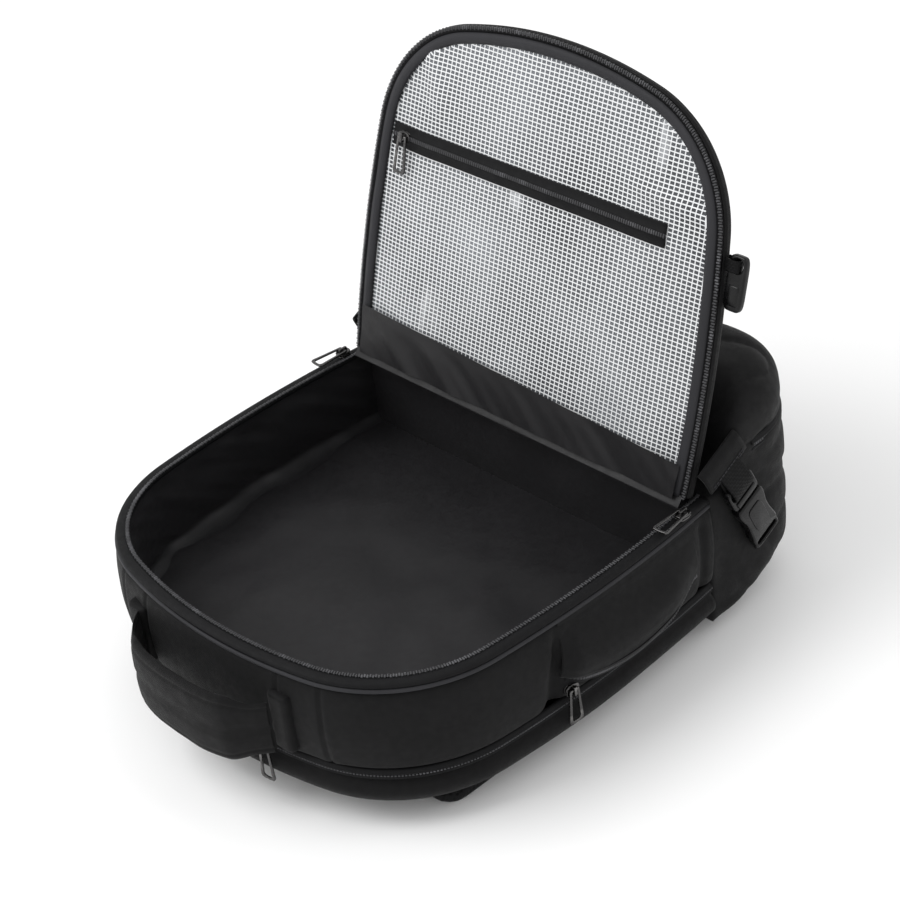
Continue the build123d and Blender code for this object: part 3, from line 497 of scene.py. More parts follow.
# %% Floor
def make_floor():
    """Pale studio floor with the faintest mottling."""
    material, tree, shader = new_finish("studio_floor", 0.8, Specular_IOR_Level=0.1)
    coordinates = tree.nodes.new("ShaderNodeTexCoord")
    mottle = use_group(tree, MOTTLE, coordinates.outputs["Object"], Scale=3.0)
    wire(tree, (mixed(tree, mottle.outputs["Patches"], (0.92, 0.92, 0.92), (0.94, 0.94, 0.94)),
                shader.inputs["Base Color"]))
    return material


floor_mesh = bmesh.new()
bmesh.ops.create_grid(floor_mesh, x_segments=2, y_segments=2, size=6)
floor_data = bpy.data.meshes.new("floor")
floor_mesh.to_mesh(floor_data)
floor_mesh.free()
floor = bpy.data.objects.new("floor", floor_data)
bpy.context.scene.collection.objects.link(floor)
floor.data.materials.append(make_floor())

# %% [markdown]
# ## Tools for cloth, tape and teeth
# Three small tools make nearly every soft piece. A laid cloth is a fine grid whose points
# are put where a place function says. A carried strip is a profile that is spun round the
# three arcs and mirrored. Teeth are one small bead repeated along a line of places. A
# finished mesh becomes an object that rides on a CAD body.


# %% Finish a mesh as a piece
def make_piece(name, bm, finish, body, slot, replaces=(), smooth=True):
    """Turns a bmesh into a piece that rides on a CAD body."""
    data = bpy.data.meshes.new(name)
    bm.to_mesh(data)
    bm.free()
    data.polygons.foreach_set("use_smooth", [smooth] * len(data.polygons))
    data.materials.append(finish)
    piece = bpy.data.objects.new(name, data)
    bpy.context.scene.collection.objects.link(piece)
    if body:
        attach(piece, body)
    if replaces:
        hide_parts(*replaces)
    print(name, len(data.polygons), "faces")
    return piece


def thicken(piece, thickness):
    """Gives a cloth its thickness behind its face."""
    wall = piece.modifiers.new("thickness", "SOLIDIFY")
    wall.thickness, wall.offset = thickness, -1
    return piece


# %% Laid cloth
def laid_cloth(columns, rows, place, size, facing=None, wrap=False):
    """Grid whose points are put by place(u, w), with a UV map in metres. facing is a point
    that the middle of the cloth should face."""
    bm = bmesh.new()
    bmesh.ops.create_grid(bm, x_segments=columns, y_segments=rows, size=0.5)
    uv = bm.loops.layers.uv.new("UVMap")
    for face in bm.faces:
        for loop in face.loops:
            at = loop.vert.co
            loop[uv].uv = ((at.x + 0.5) * size[0], (at.y + 0.5) * size[1])
    for vert in bm.verts:
        vert.co = place(vert.co.x + 0.5, vert.co.y + 0.5)
    bm.normal_update()
    if wrap:
        bmesh.ops.remove_doubles(bm, verts=bm.verts, dist=1e-6)
        bmesh.ops.recalc_face_normals(bm, faces=bm.faces)
    if facing is not None:
        middle = min(bm.faces, key=lambda f: (f.calc_center_median() - place(0.5, 0.5)).length)
        if middle.normal.dot(Vector(facing) - middle.calc_center_median()) < 0:
            bmesh.ops.reverse_faces(bm, faces=bm.faces)
    return bm


# %% Carried strip
ARC_STEPS = (70, 44, 44)


def carried_strip(profile, far=JOINT):
    """Profile of (inset, z) pairs that stands at far, spun round the outline's three arcs
    and mirrored to the left. UVs run along the strip and round the profile, in metres."""
    bm = bmesh.new()
    turn = asin((far - SIDE_C.y) / SIDE_R)
    verts = [bm.verts.new(SIDE_C + Vector(((SIDE_R - inset) * cos(turn),
                                           (SIDE_R - inset) * sin(turn), z)))
             for inset, z in profile]
    last = verts + [bm.edges.new(pair) for pair in zip(verts, verts[1:] + verts[:1])]
    arcs = ((SIDE_C, CORNER_TURN - turn), (CORNER_C, END_TURN - CORNER_TURN),
            (END_C, -pi / 2 - END_TURN))
    for (centre, angle), count in zip(arcs, ARC_STEPS):
        last = bmesh.ops.spin(bm, geom=last, cent=centre, axis=(0, 0, 1), angle=angle,
                              steps=count)["geom_last"]
    bmesh.ops.remove_doubles(bm, verts=bm.verts, dist=1e-7)
    for vert in bm.verts:
        if abs(vert.co.x) < 1e-5:
            vert.co.x = 0
    bmesh.ops.mirror(bm, geom=bm.verts[:] + bm.edges[:] + bm.faces[:], axis="X",
                     merge_dist=1e-6)
    bmesh.ops.holes_fill(bm, edges=[e for e in bm.edges if e.is_boundary], sides=0)
    bmesh.ops.recalc_face_normals(bm, faces=bm.faces)
    uv = bm.loops.layers.uv.new("UVMap")
    for face in bm.faces:
        for loop in face.loops:
            at = loop.vert.co
            loop[uv].uv = (along_outline(at), at.z + inside_by(at.x, at.y))
    return bm


def along_outline(point):
    """Girth of the outline place nearest to a point."""
    p = Vector((abs(point.x), point.y, 0))
    turn_end = atan2(p.y - END_C.y, p.x - END_C.x)
    turn_side = atan2(p.y - SIDE_C.y, p.x - SIDE_C.x)
    if turn_end < END_TURN:
        walked = (turn_end + pi / 2) * END_R
    elif turn_side > CORNER_TURN:
        walked = END_HALF + CORNER_LEN + SIDE_R * (turn_side - CORNER_TURN)
    else:
        turn = atan2(p.y - CORNER_C.y, p.x - CORNER_C.x)
        walked = END_HALF + CORNER_R * (turn - END_TURN)
    return walked if point.x >= 0 else -walked


# %% Zip teeth
TOOTH_EDGE = 0.22            # share of a tooth that its rounded edges take


def teeth(places, size):
    """One rounded bead per place; a place is (point, along, up)."""
    bm = bmesh.new()
    for point, along, up_way in places:
        across = up_way.cross(along)
        stand = Matrix((along, across, up_way)).transposed().to_4x4()
        stand.translation = point
        bmesh.ops.create_cube(bm, size=1, matrix=stand @ Matrix.Diagonal((*size, 1)))
    bmesh.ops.bevel(bm, geom=bm.edges[:], offset=min(size) * TOOTH_EDGE, segments=1, profile=0.5,
                    affect="EDGES", material=-1)
    return bm


def outline_places(out, z, pitch, far=JOINT, wobble=0.0):
    """Places for teeth along the whole outline."""
    reach = girth_at(far)
    count = int(2 * reach / pitch)
    places = []
    for i in range(count + 1):
        girth = -reach + 2 * reach * i / count
        here, ahead = on_outline(girth, out, z), on_outline(girth + 0.0005, out, z)
        across = (i % 2 - 0.5) * wobble
        outward = (on_outline(girth, out + 0.001, z) - here).normalized()
        places.append((here + outward * across, (ahead - here).normalized(), Vector((0, 0, 1))))
    return places


def ripple(point, scale, seed=0.0):
    """Smooth noise from about -1 to 1, the same on every run."""
    return noise.noise(Vector(point) * scale + Vector((seed, seed * 1.7, -seed)))


def near(value, centre, width):
    """Bell that is 1 at the centre and fades over the width."""
    return exp(-((value - centre) / width) ** 2)


def ease(value, low, high):
    """0 below low, 1 above high, and a smooth step between."""
    t = min(1.0, max(0.0, (value - low) / (high - low)))
    return t * t * (3 - 2 * t)


# %% [markdown]
# ## The outer wall
# The wall of the main compartment is lightly padded cloth, sewn between the rim's piping
# and the zip of the laptop compartment. It bellies out between those two seams, two upright
# seams cross it on each side of the handle, and a deep pleat marks where each side pocket
# begins. It is one fine cloth laid round the outline, with all that as its relief.

# %% Outer wall
POCKET_NEAR, POCKET_FAR = (girth_at(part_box("side_pocket_right")[i].y) for i in (0, 1))
WALL_Z0, WALL_Z1 = WALL_LOW.z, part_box("rim_piping")[0].z + 0.001
SEAMS = (0.0645, 0.097)


def wall_relief(girth, rise):
    """How far the wall stands out, at a girth and a rise from 0 (foot) to 1 (rim)."""
    around = abs(girth)
    belly = 0.0042 * sin(pi * min(1, max(0, rise))) ** 0.6
    belly += 0.0012 * ripple((girth * 9, rise * 1.6, 1), 1, 3)
    belly += 0.0007 * ripple((girth * 30, rise * 2.2, 4), 1, 5) * sin(pi * rise)
    for seam in SEAMS:
        belly -= 0.0016 * near(around, seam, 0.0013) - 0.0006 * near(around, seam, 0.007)
    pleat_width = 0.0025 + 0.0045 * ease(rise, 0.75, 0.25)
    pleat = near(around, POCKET_NEAR - 0.004 - 0.004 * (1 - rise), pleat_width)
    belly -= 0.0055 * pleat * ease(rise, 1.0, 0.6)
    belly -= 0.003 * near(around, POCKET_FAR + 0.006, 0.004) * ease(rise, 1.0, 0.8)
    tuck = exp(-rise / 0.035) + exp(-(1 - rise) / 0.03)
    return belly - 0.0022 * tuck


def wall_place(u, w):
    girth = (2 * u - 1) * GIRTH
    return on_outline(girth, wall_relief(girth, w), WALL_Z0 + (WALL_Z1 - WALL_Z0) * w)


wall = make_piece("outer_wall", laid_cloth(460, 34, wall_place, (2 * GIRTH, WALL_Z1 - WALL_Z0),
                                           facing=(0, -3, 0.1)),
                  SHELL_UV, "bag", "shell_fabric", ["main_wall"])
thicken(wall, 0.0012)

# %% [markdown]
# ## The rear panel
# Below the laptop zip the bag turns in under itself to the back panel. A profile from the
# zip round the bottom edge to well under the bag is laid round the outline, and a plain
# sheet closes the middle, under the pads.

# %% Rear panel
REAR_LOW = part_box("rear_shell")[0]
ZIP_LOW, ZIP_HIGH = (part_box("laptop_zip")[i].z for i in (0, 1))


def rear_place(u, w):
    girth = (2 * u - 1) * GIRTH
    if w < 0.55:
        rise = 1 - w / 0.55
        out = 0.0042 * sin(pi * min(1.0, rise + 0.12)) ** 0.7 - 0.0022 * exp(-(1 - rise) / 0.06)
        out += 0.0014 * ripple((girth * 11, rise, 7), 1, 9)
        z = REAR_LOW.z + 0.006 + (ZIP_LOW - REAR_LOW.z - 0.0055) * rise
        turn_in = 0.008 * (1 - rise) ** 3
        return on_outline(girth, out - turn_in, z)
    under = (w - 0.55) / 0.45
    inset = 0.008 + 0.076 * under
    z = REAR_LOW.z + 0.006 * (1 - sin(min(1, under * 5) * pi / 2))
    return on_outline(girth, 0.0042 * sin(pi * 0.12) ** 0.7 * (1 - under) - inset, z)


rear = make_piece("rear_panel", laid_cloth(300, 40, rear_place, (2 * GIRTH, 0.12),
                                           facing=(0, -3, 0)),
                  SHELL_UV, "bag", "shell_fabric", ["rear_shell"])
thicken(rear, 0.0012)


def under_place(u, w):
    y = NEAR + 0.070 + (JOINT - NEAR - 0.066) * w
    reach = side_half(max(y, NEAR + 0.12), 0.078)
    return Vector(((2 * u - 1) * reach, y, REAR_LOW.z + 0.0006))


make_piece("rear_sheet", laid_cloth(40, 40, under_place, (0.3, 0.3), facing=(0, 0, -1)),
           SHELL_UV, "bag", "shell_fabric")

# %% [markdown]
# ## The laptop zip
# A covered zip runs all the way round between the wall and the rear panel. Two soft lips of
# cloth meet over the coil, which shows only as a line between them.

# %% Laptop zip
ZIP_MID = (ZIP_LOW + ZIP_HIGH) / 2
tape = carried_strip([(0.0018, ZIP_LOW - 0.001), (0.0002, ZIP_LOW + 0.0005),
                      (-0.0012, ZIP_LOW + 0.002), (-0.0006, ZIP_MID - 0.0006),
                      (0.0012, ZIP_MID), (-0.0006, ZIP_MID + 0.0006),
                      (-0.0012, ZIP_HIGH - 0.002), (0.0002, ZIP_HIGH - 0.0005),
                      (0.0018, ZIP_HIGH + 0.001), (0.0022, ZIP_MID)])
make_piece("laptop_zip_lips", tape, ZIP_TAPE, "bag", "zip_tape", ["laptop_zip"])
laptop_teeth = teeth(outline_places(0.0002, ZIP_MID, 0.0022), (0.0015, 0.0016, 0.0011))
make_piece("laptop_zip_coil", laptop_teeth, COIL, "bag", "zip_tape")

# %% [markdown]
# ## The rim
# Along the mouth runs one half of the main zip: a flat tape bound at its outer edge by
# piping, with the coil standing on its inner edge. The tape and the piping are profiles
# carried round the outline, and the coil is a bead repeated every two millimetres.

# %% Rim tape, piping and coil
rim_z = RIM_TOP - 0.004
rim = carried_strip([(-0.0006, rim_z), (-0.0010, rim_z + 0.0022), (0.0002, rim_z + 0.0036),
                     (0.0022, rim_z + 0.0040), (0.0050, rim_z + 0.0039), (0.0072, rim_z + 0.0034),
                     (0.0080, rim_z + 0.0020), (0.0079, rim_z + 0.0002), (0.0040, rim_z - 0.0002)])
make_piece("rim_tape", rim, ZIP_TAPE, "bag", "zip_tape", ["rim_zip"])


CORD_SIDES = 10


def round_profile(inset, z, radius):
    """Circle of points for a carried cord."""
    turns = [2 * pi * i / CORD_SIDES for i in range(CORD_SIDES)]
    return [(inset + radius * cos(turn), z + radius * sin(turn)) for turn in turns]


make_piece("rim_piping_cord", carried_strip(round_profile(-0.0004, rim_z - 0.0014, 0.0016)),
           BINDING, "bag", "binding", ["rim_piping"])
make_piece("rim_coil", teeth(outline_places(-0.0074, RIM_TOP + 0.0001, 0.0019, wobble=0.0005),
                             (0.0012, 0.0026, 0.0012)), COIL, "bag", "zip_tape")

# %% [markdown]
# ## The lining
# Inside, thin nylon hangs from the rim and slumps into soft upright folds. The wall part
# turns out at its foot to meet the floor sheet, which is gently rumpled. The end wall in
# front of the base compartment has the same cloth.

# %% Lining walls
LINING_LOW, LINING_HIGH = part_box("main_lining")
LINING_FLOOR = LINING_LOW.z + 0.0015
INNER = 0.0042


def lining_folds(girth, drop):
    """Depth of the folds that hang from the rim; drop is 0 at the rim and 1 at the floor."""
    fold = ripple((girth * 26, drop * 0.9, 2), 1, 11)
    fold += 0.6 * ripple((girth * 55 + drop * 5, drop * 1.5, 5), 1, 13)
    return 0.0030 * fold * ease(drop, 0.0, 0.25)


def lining_place(u, w):
    girth = (2 * u - 1) * GIRTH
    drop = min(1.0, w / 0.8)
    if w < 0.8:
        sag = 0.0016 + 0.0022 * sin(pi * drop)
        return on_outline(girth, -INNER - sag - lining_folds(girth, drop),
                          LINING_HIGH.z - (LINING_HIGH.z - LINING_FLOOR - 0.008) * drop)
    turn = (w - 0.8) / 0.2 * pi / 2
    return on_outline(girth, -INNER - 0.0016 - lining_folds(girth, 1) - 0.014 * (1 - cos(turn)),
                      LINING_FLOOR + 0.008 * (1 - sin(turn)) + 0.0006)


make_piece("lining_walls", laid_cloth(420, 40, lining_place, (2 * GIRTH, 0.08),
                                      facing=(0, 0, 0.09)),
           LINING, "bag", "lining_fabric", ["main_lining"])


# %% Lining floor and end wall
def floor_place(u, w):
    x, y = (2 * u - 1) * (HALF - 0.008), NEAR + 0.008 + (JOINT - NEAR - 0.012) * w
    rumple = ripple((x * 16, y * 16, 3), 1, 17) + 0.5 * ripple((x * 40, y * 34, 3), 1, 19)
    return Vector((x, y, LINING_FLOOR + 0.0012 + 0.0019 * rumple))


floor_lining = laid_cloth(120, 110, floor_place, (0.32, 0.29), facing=(0, 0, 3))
bmesh.ops.delete(floor_lining, context="VERTS",
                 geom=[v for v in floor_lining.verts if inside_by(v.co.x, v.co.y) < 0.010])
make_piece("lining_floor", floor_lining, LINING, "bag", "lining_fabric")

PARTITION_LOW, PARTITION_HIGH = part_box("base_partition")


def partition_place(u, w):
    x = (2 * u - 1) * (HALF - 0.010)
    sag = 0.0025 * sin(pi * w) + 0.0022 * ripple((x * 24, w * 1.4, 3), 1, 23) * sin(pi * w) ** 0.5
    return Vector((x, PARTITION_LOW.y + 0.0015 - sag,
                   LINING_FLOOR + (PARTITION_HIGH.z - LINING_FLOOR + 0.002) * w))


make_piece("lining_end_wall", laid_cloth(110, 30, partition_place, (0.32, 0.065),
                                         facing=(0, -2, 0.08)),
           LINING, "bag", "lining_fabric", ["base_partition"])

# %% [markdown]
# ## The side pockets
# Each pocket is a panel that hangs from under the rim and stands away from the wall, so its
# zip sags in a long curve with dark shade behind it. The panel's near edge hangs free over
# the pleat. Below it, the zip tape is a narrow strip with the coil along it.


# %% Side pocket panels
def pocket_drop(u):
    """Height of the panel's lower edge along the pocket, from the handle side to the base."""
    return 0.0600 + 0.013 * (1 - sin(pi * min(1, u * 1.05)) ** 0.75) - 0.003 * sin(pi * u)


def pocket_place(side):
    def place(u, w):
        reach = POCKET_FAR - POCKET_NEAR
        flare = 0.005 * (1 - u) * w**1.5
        girth = POCKET_NEAR - flare + (reach + flare) * u
        foot = pocket_drop(u)
        z = WALL_Z1 + (foot - WALL_Z1) * w
        open_up = ease(w, 0.0, 0.75) * (1 - 0.15 * ease(w, 0.8, 1.0))
        ends = ease(u, -0.10, 0.10) * (1 - 0.55 * ease(u, 0.72, 1.0))
        out = 0.0008 + 0.0118 * open_up * ends
        out += 0.0010 * ripple((girth * 17, w * 2.2, 6), 1, 29) * open_up
        out -= 0.006 * near(u, 1.0, 0.018) * open_up
        roll = 0.0014 * ease(w, 0.965, 1.0)
        return on_outline(side * girth, out - roll, z)
    return place


for side, label in ((1, "right"), (-1, "left")):
    panel = make_piece(f"pocket_panel_{label}",
                       laid_cloth(110, 44, pocket_place(side), (0.133, 0.05),
                                  facing=(side * 3, 0, 0.08)),
                       SHELL_UV, "bag", "shell_fabric", [f"side_pocket_{label}"])
    thicken(panel, 0.0014)


# %% Side pocket zips
def side_zip_place(side, shift):
    def place(u, w):
        girth = POCKET_NEAR + 0.001 + (POCKET_FAR - POCKET_NEAR - 0.004) * u
        z = pocket_drop(u) - 0.0105 * w + 0.0015
        out = 0.0112 * ease(u, -0.08, 0.10) * (1 - 0.55 * ease(u, 0.72, 1.0)) * (1 - 0.55 * w)
        return on_outline(side * girth, out + shift, z)
    return place


for side, label in ((1, "right"), (-1, "left")):
    place = side_zip_place(side, 0)
    strip = make_piece(f"pocket_zip_{label}",
                       laid_cloth(100, 10, place, (0.133, 0.0105), facing=(side * 3, 0, 0.0)),
                       ZIP_TAPE, "bag", "zip_tape", [f"side_zip_{label}"])
    thicken(strip, 0.0007)
    spots = []
    for i in range(64):
        u = (i + 0.5) / 64
        here, ahead = place(u, 0.45), place(u + 0.002, 0.45)
        spots.append((here, (ahead - here).normalized(), Vector((side, 0, 0))))
    make_piece(f"pocket_zip_coil_{label}", teeth(spots, (0.0013, 0.0024, 0.0012)), COIL, "bag",
               "zip_tape")

# %% [markdown]
# ## The base compartment
# The end of the bag away from the handle is a stuffed pod, higher than the rest. It starts
# as a solid side profile pulled across the bag, its edges are rounded, and an even skin is
# drawn over it. The skin is then swelled between its seams and creased, as filled cloth is.

# %% Base pod
POD_LOW, POD_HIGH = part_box("base_shell")[0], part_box("base_top")[1]
SHELF_Y, SHELF_Z = JOINT + 0.014, RIM_TOP
SLOPE = radians(18)


def remeshed(bm, voxel):
    """The same solid under an even skin of small squares."""
    data = bpy.data.meshes.new("skin")
    bm.to_mesh(data)
    bm.free()
    holder = bpy.data.objects.new("skin", data)
    bpy.context.scene.collection.objects.link(holder)
    skin = holder.modifiers.new("skin", "REMESH")
    skin.mode, skin.voxel_size = "VOXEL", voxel
    evaluated = holder.evaluated_get(bpy.context.evaluated_depsgraph_get())
    result = bmesh.new()
    result.from_mesh(evaluated.to_mesh())
    evaluated.to_mesh_clear()
    bpy.data.objects.remove(holder)
    bpy.data.meshes.remove(data)
    return result


def pod_block():
    """Side profile of the pod pulled across the bag, with its edges rounded."""
    bm = bmesh.new()
    top_y = SHELF_Y + (POD_HIGH.z - SHELF_Z) * sin(SLOPE) / cos(SLOPE)
    x = POD_HIGH.x
    corners = [(JOINT, POD_LOW.z), (POD_HIGH.y, POD_LOW.z), (POD_HIGH.y, POD_HIGH.z),
               (top_y, POD_HIGH.z), (SHELF_Y, SHELF_Z), (JOINT, SHELF_Z)]
    verts = [bm.verts.new((-x, y, z)) for y, z in corners]
    side_face = bm.faces.new(verts)
    pulled = bmesh.ops.extrude_face_region(bm, geom=[side_face])["geom"]
    bmesh.ops.translate(bm, vec=(2 * x, 0, 0),
                        verts=[v for v in pulled if isinstance(v, bmesh.types.BMVert)])
    bmesh.ops.recalc_face_normals(bm, faces=bm.faces)

    def edges_where(test):
        return [e for e in bm.edges if all(test(v.co) for v in e.verts)]

    def rounded(edges, radius):
        bmesh.ops.bevel(bm, geom=edges, offset=radius, segments=8, profile=0.5,
                        affect="EDGES", material=-1)

    upright = [e for e in edges_where(lambda p: abs(p.y - POD_HIGH.y) < 1e-5)
               if abs(e.verts[0].co.x - e.verts[1].co.x) < 1e-5]
    rounded(upright, 0.056)
    rounded(edges_where(lambda p: abs(p.z - POD_LOW.z) < 1e-5 and p.y > JOINT + 1e-4), 0.028)
    rounded(edges_where(lambda p: abs(p.z - POD_HIGH.z) < 1e-5), 0.026)
    return bm


pod = remeshed(pod_block(), 0.003)
for _ in range(3):
    bmesh.ops.smooth_vert(pod, verts=pod.verts, factor=0.5, use_axis_x=True, use_axis_y=True,
                          use_axis_z=True)
pod.normal_update()
for vert in pod.verts:
    p, n = vert.co.copy(), vert.normal.copy()
    side_face = abs(n.x)
    swell = 0.0022 * ease(p.y, JOINT, JOINT + 0.03)
    crease = ripple((p.x * 10, p.y * 18, p.z * 13), 1, 31)
    folds = abs(ripple((p.x * 14, p.y * 22 + p.z * 20, p.z * 26 - p.y * 9), 1, 37))
    seam = near(p.z, 0.1400 + 0.0012 * ripple(p, 60, 2), 0.0022) * ease(n.y + side_face, 0.2, 0.5)
    free = ease(p.y, JOINT + 0.001, JOINT + 0.02) * ease(p.z, POD_LOW.z - 0.001, POD_LOW.z + 0.012)
    lift = (swell + 0.0026 * crease - 0.0024 * (1 - folds) ** 6 - 0.0022 * seam) * free
    vert.co = p + n * lift
bmesh.ops.recalc_face_normals(pod, faces=pod.faces)
make_piece("base_pod", pod, SHELL, "bag", "shell_fabric", ["base_shell", "base_top"])

# %% [markdown]
# ## The lid
# The lid is a padded panel with a rolled edge. From inside it shows, from the edge inwards,
# its half of the main zip, a dark binding, and the clear pocket over a dark lining. All of
# it is drawn shut on the outline and then turned open about the hinge.


# %% Lid tools
def open_lid(bm):
    """Turns a mesh drawn on the shut lid to where the open lid stands."""
    swing = Matrix.Translation(HINGE) @ OPEN_LID @ Matrix.Translation(-HINGE)
    bmesh.ops.transform(bm, matrix=swing, verts=bm.verts)
    return bm


def lid_cloth(inset, from_hinge, cell, relief):
    """Flat cloth on the shut lid, cut to the outline, lifted by relief(x, from_hinge)."""
    low, high = from_hinge
    width, length = 2 * HALF, high - low
    columns, rows = round(width / cell), round(length / cell)

    def place(u, w):
        x, up_lid = (2 * u - 1) * HALF, low + length * w
        return Vector((x, HINGE.y - up_lid, HINGE.z + relief(x, up_lid)))

    bm = laid_cloth(columns, rows, place, (width, length), facing=(0, 0, -3))
    bmesh.ops.delete(bm, context="VERTS",
                     geom=[v for v in bm.verts if inside_by(v.co.x, v.co.y) < inset])
    for vert in bm.verts:
        if vert.is_boundary and inside_by(vert.co.x, vert.co.y) < inset + 1.5 * cell:
            edge = on_outline(along_outline(vert.co), -inset)
            vert.co.x, vert.co.y = edge.x, min(edge.y, HINGE.y - low)
    return bm


# %% Lid edge: zip tape, coil, binding
zip_band = carried_strip([(0.0082, HINGE.z + 0.0004), (0.0078, HINGE.z + 0.0016),
                          (0.0090, HINGE.z + 0.0030), (0.0122, HINGE.z + 0.0030),
                          (0.0124, HINGE.z + 0.0008), (0.0100, HINGE.z + 0.0002)], far=LID_FAR)
make_piece("lid_zip_tape", open_lid(zip_band), ZIP_TAPE, "lid", "zip_tape", ["lid_zip"])
coil_places = outline_places(-0.0090, HINGE.z + 0.0001, 0.0019, far=LID_FAR, wobble=0.0005)
make_piece("lid_coil", open_lid(teeth(coil_places, (0.0012, 0.0026, 0.0012))), COIL, "lid",
           "zip_tape")
binding = carried_strip([(0.0120, HINGE.z + 0.0012), (0.0128, HINGE.z - 0.0004),
                         (0.0160, HINGE.z - 0.0012), (0.0192, HINGE.z - 0.0004),
                         (0.0202, HINGE.z + 0.0010), (0.0196, HINGE.z + 0.0024),
                         (0.0124, HINGE.z + 0.0026)], far=LID_FAR)
for vert in binding.verts:
    girth = along_outline(vert.co)
    vert.co.z += 0.0008 * ripple((girth * 24, 1, 2), 1, 41)
make_piece("lid_binding_tape", open_lid(binding), BINDING, "lid", "binding", ["lid_binding"])

# %% Lid panel

def lid_shell_place(u, w):
    """From the zip edge round the side of the lid and across its outer face."""
    girth = (2 * u - 1) * girth_at(LID_FAR)
    steps = [(0.0080, 0.0028), (0.0072, 0.0050), (0.0076, 0.0085), (0.0100, 0.0122),
             (0.0150, 0.0143), (0.0240, 0.0150), (0.0450, 0.0152), (0.0650, 0.0152),
             (0.0860, 0.0150)]
    at = w * (len(steps) - 1)
    i = min(int(at), len(steps) - 2)
    t = at - i
    inset, depth = (steps[i][k] * (1 - t) + steps[i + 1][k] * t for k in (0, 1))
    depth += 0.0010 * ripple((girth * 12, inset * 30, 3), 1, 43) * ease(inset, 0.012, 0.03)
    p = on_outline(girth, -inset, HINGE.z + depth)
    p.y = min(p.y, LID_FAR)
    return p


lid_edge = laid_cloth(300, 32, lid_shell_place, (2 * GIRTH, 0.1), facing=(0, -3, 0.2))
make_piece("lid_shell_edge", open_lid(lid_edge), SHELL_UV, "lid", "shell_fabric",
           ["lid_shell"])
lid_back = lid_cloth(0.070, (0.005, 0.30), 0.006,
                     lambda x, v: 0.0151 + 0.0006 * ripple((x * 12, v * 12, 1), 1, 47))
bmesh.ops.reverse_faces(lid_back, faces=lid_back.faces)
make_piece("lid_shell_back", open_lid(lid_back), SHELL_UV, "lid", "shell_fabric")


# %% Lid lining and hem
def lid_lining_relief(x, v):
    slack = 0.0012 * ripple((x * 11, v * 13, 2), 1, 53)
    slack += 0.0006 * ripple((x * 33, v * 30, 5), 1, 59)
    return 0.0078 + slack


lid_lining = lid_cloth(0.0105, (0.006, 0.30), 0.004, lid_lining_relief)
make_piece("lid_lining_cloth", open_lid(lid_lining), LINING, "lid", "lining_fabric",
           ["lid_lining", "lid_foam"])


def hem_relief(x, v):
    """The gathered strip under the pocket: slanting tucks that fade towards its top seam."""
    tuck = ripple((x * 30 + v * 34, v * 9, 3), 1, 61)
    tuck += 0.6 * ripple((x * 58 + v * 70, v * 10, 7), 1, 67)
    return -0.0030 + 0.0022 * tuck * ease(0.036 - v, 0.0, 0.014)


def hem_place(u, w):
    """Hem of the pocket; its top seam is higher at the left than at the right."""
    top = 0.0405 - 0.0125 * u
    v = 0.004 + (top - 0.004) * w
    x = (2 * u - 1) * side_half(HINGE.y - v, 0.0150)
    return lid_point(x, v, hem_relief(x, v))


make_piece("lid_hem", laid_cloth(190, 22, hem_place, (0.30, 0.034), facing=(0, -2, 0.2)),
           LINING, "lid", "lining_fabric")


# %% Clear pocket
ZIP_FROM_HINGE = 0.172


def film_relief(x, v):
    """The film bellies a little and buckles where it is sewn down short."""
    belly = -0.0022 * ease(inside_by(x, HINGE.y - v), 0.018, 0.06)
    waves = 0.0012 * ripple((x * 15, v * 9, 4), 1, 71) + 0.0006 * ripple((x * 34, v * 22, 6), 1, 73)
    buckle = 0.0022 * near(x + 0.36 * (v - 0.19), -0.095, 0.010) * ease(v, 0.18, 0.21)
    buckle += 0.0020 * near(v + 0.10 * (x - 0.1), 0.195, 0.006) * ease(x, 0.06, 0.10)
    return 0.0020 + belly + waves - buckle


def film_panel(name, low, high, replaced):
    film = lid_cloth(0.0175, (low, high), 0.0022, film_relief)
    piece = make_piece(name, open_lid(film), FILM, "lid", "mesh", [replaced])
    return piece


film_panel("clear_pocket_upper", ZIP_FROM_HINGE, 0.262, "mesh_upper")
film_panel("clear_pocket_lower", 0.022, ZIP_FROM_HINGE, "mesh_lower")


# %% Pocket zip
def pocket_zip_place(u, w):
    x = -0.141 + (0.112 + 0.141) * u
    v = ZIP_FROM_HINGE + (w - 0.5) * 0.0165
    ridge = -0.0010 * near(w, 0.5, 0.16) - 0.0004 * (near(w, 0.04, 0.05) + near(w, 0.96, 0.05))
    return lid_point(x, v, film_relief(x, v) - 0.0009 + ridge)


zip_strip = make_piece("clear_pocket_zip", laid_cloth(90, 16, pocket_zip_place, (0.253, 0.0165),
                                                      facing=(0, -2, 0.2)),
                       ZIP_TAPE, "lid", "zip_tape", ["mesh_zip"])
thicken(zip_strip, 0.0006)
spots = []
for i in range(130):
    u = (i + 0.5) / 130
    here, ahead = pocket_zip_place(u, 0.5), pocket_zip_place(u + 0.003, 0.5)
    spots.append((here, (ahead - here).normalized(), OPEN_LID @ Vector((0, 0, -1))))
make_piece("clear_pocket_coil", teeth(spots, (0.0013, 0.0030, 0.0012)), COIL, "lid", "zip_tape")

# %% [markdown]
# ## Cloth across the hinge
# The lid is sewn to the bag by a strip that bends as the lid swings; it is drawn as it stands
# with the lid open: it follows the bag at one edge and the lid at the other, turning smoothly.


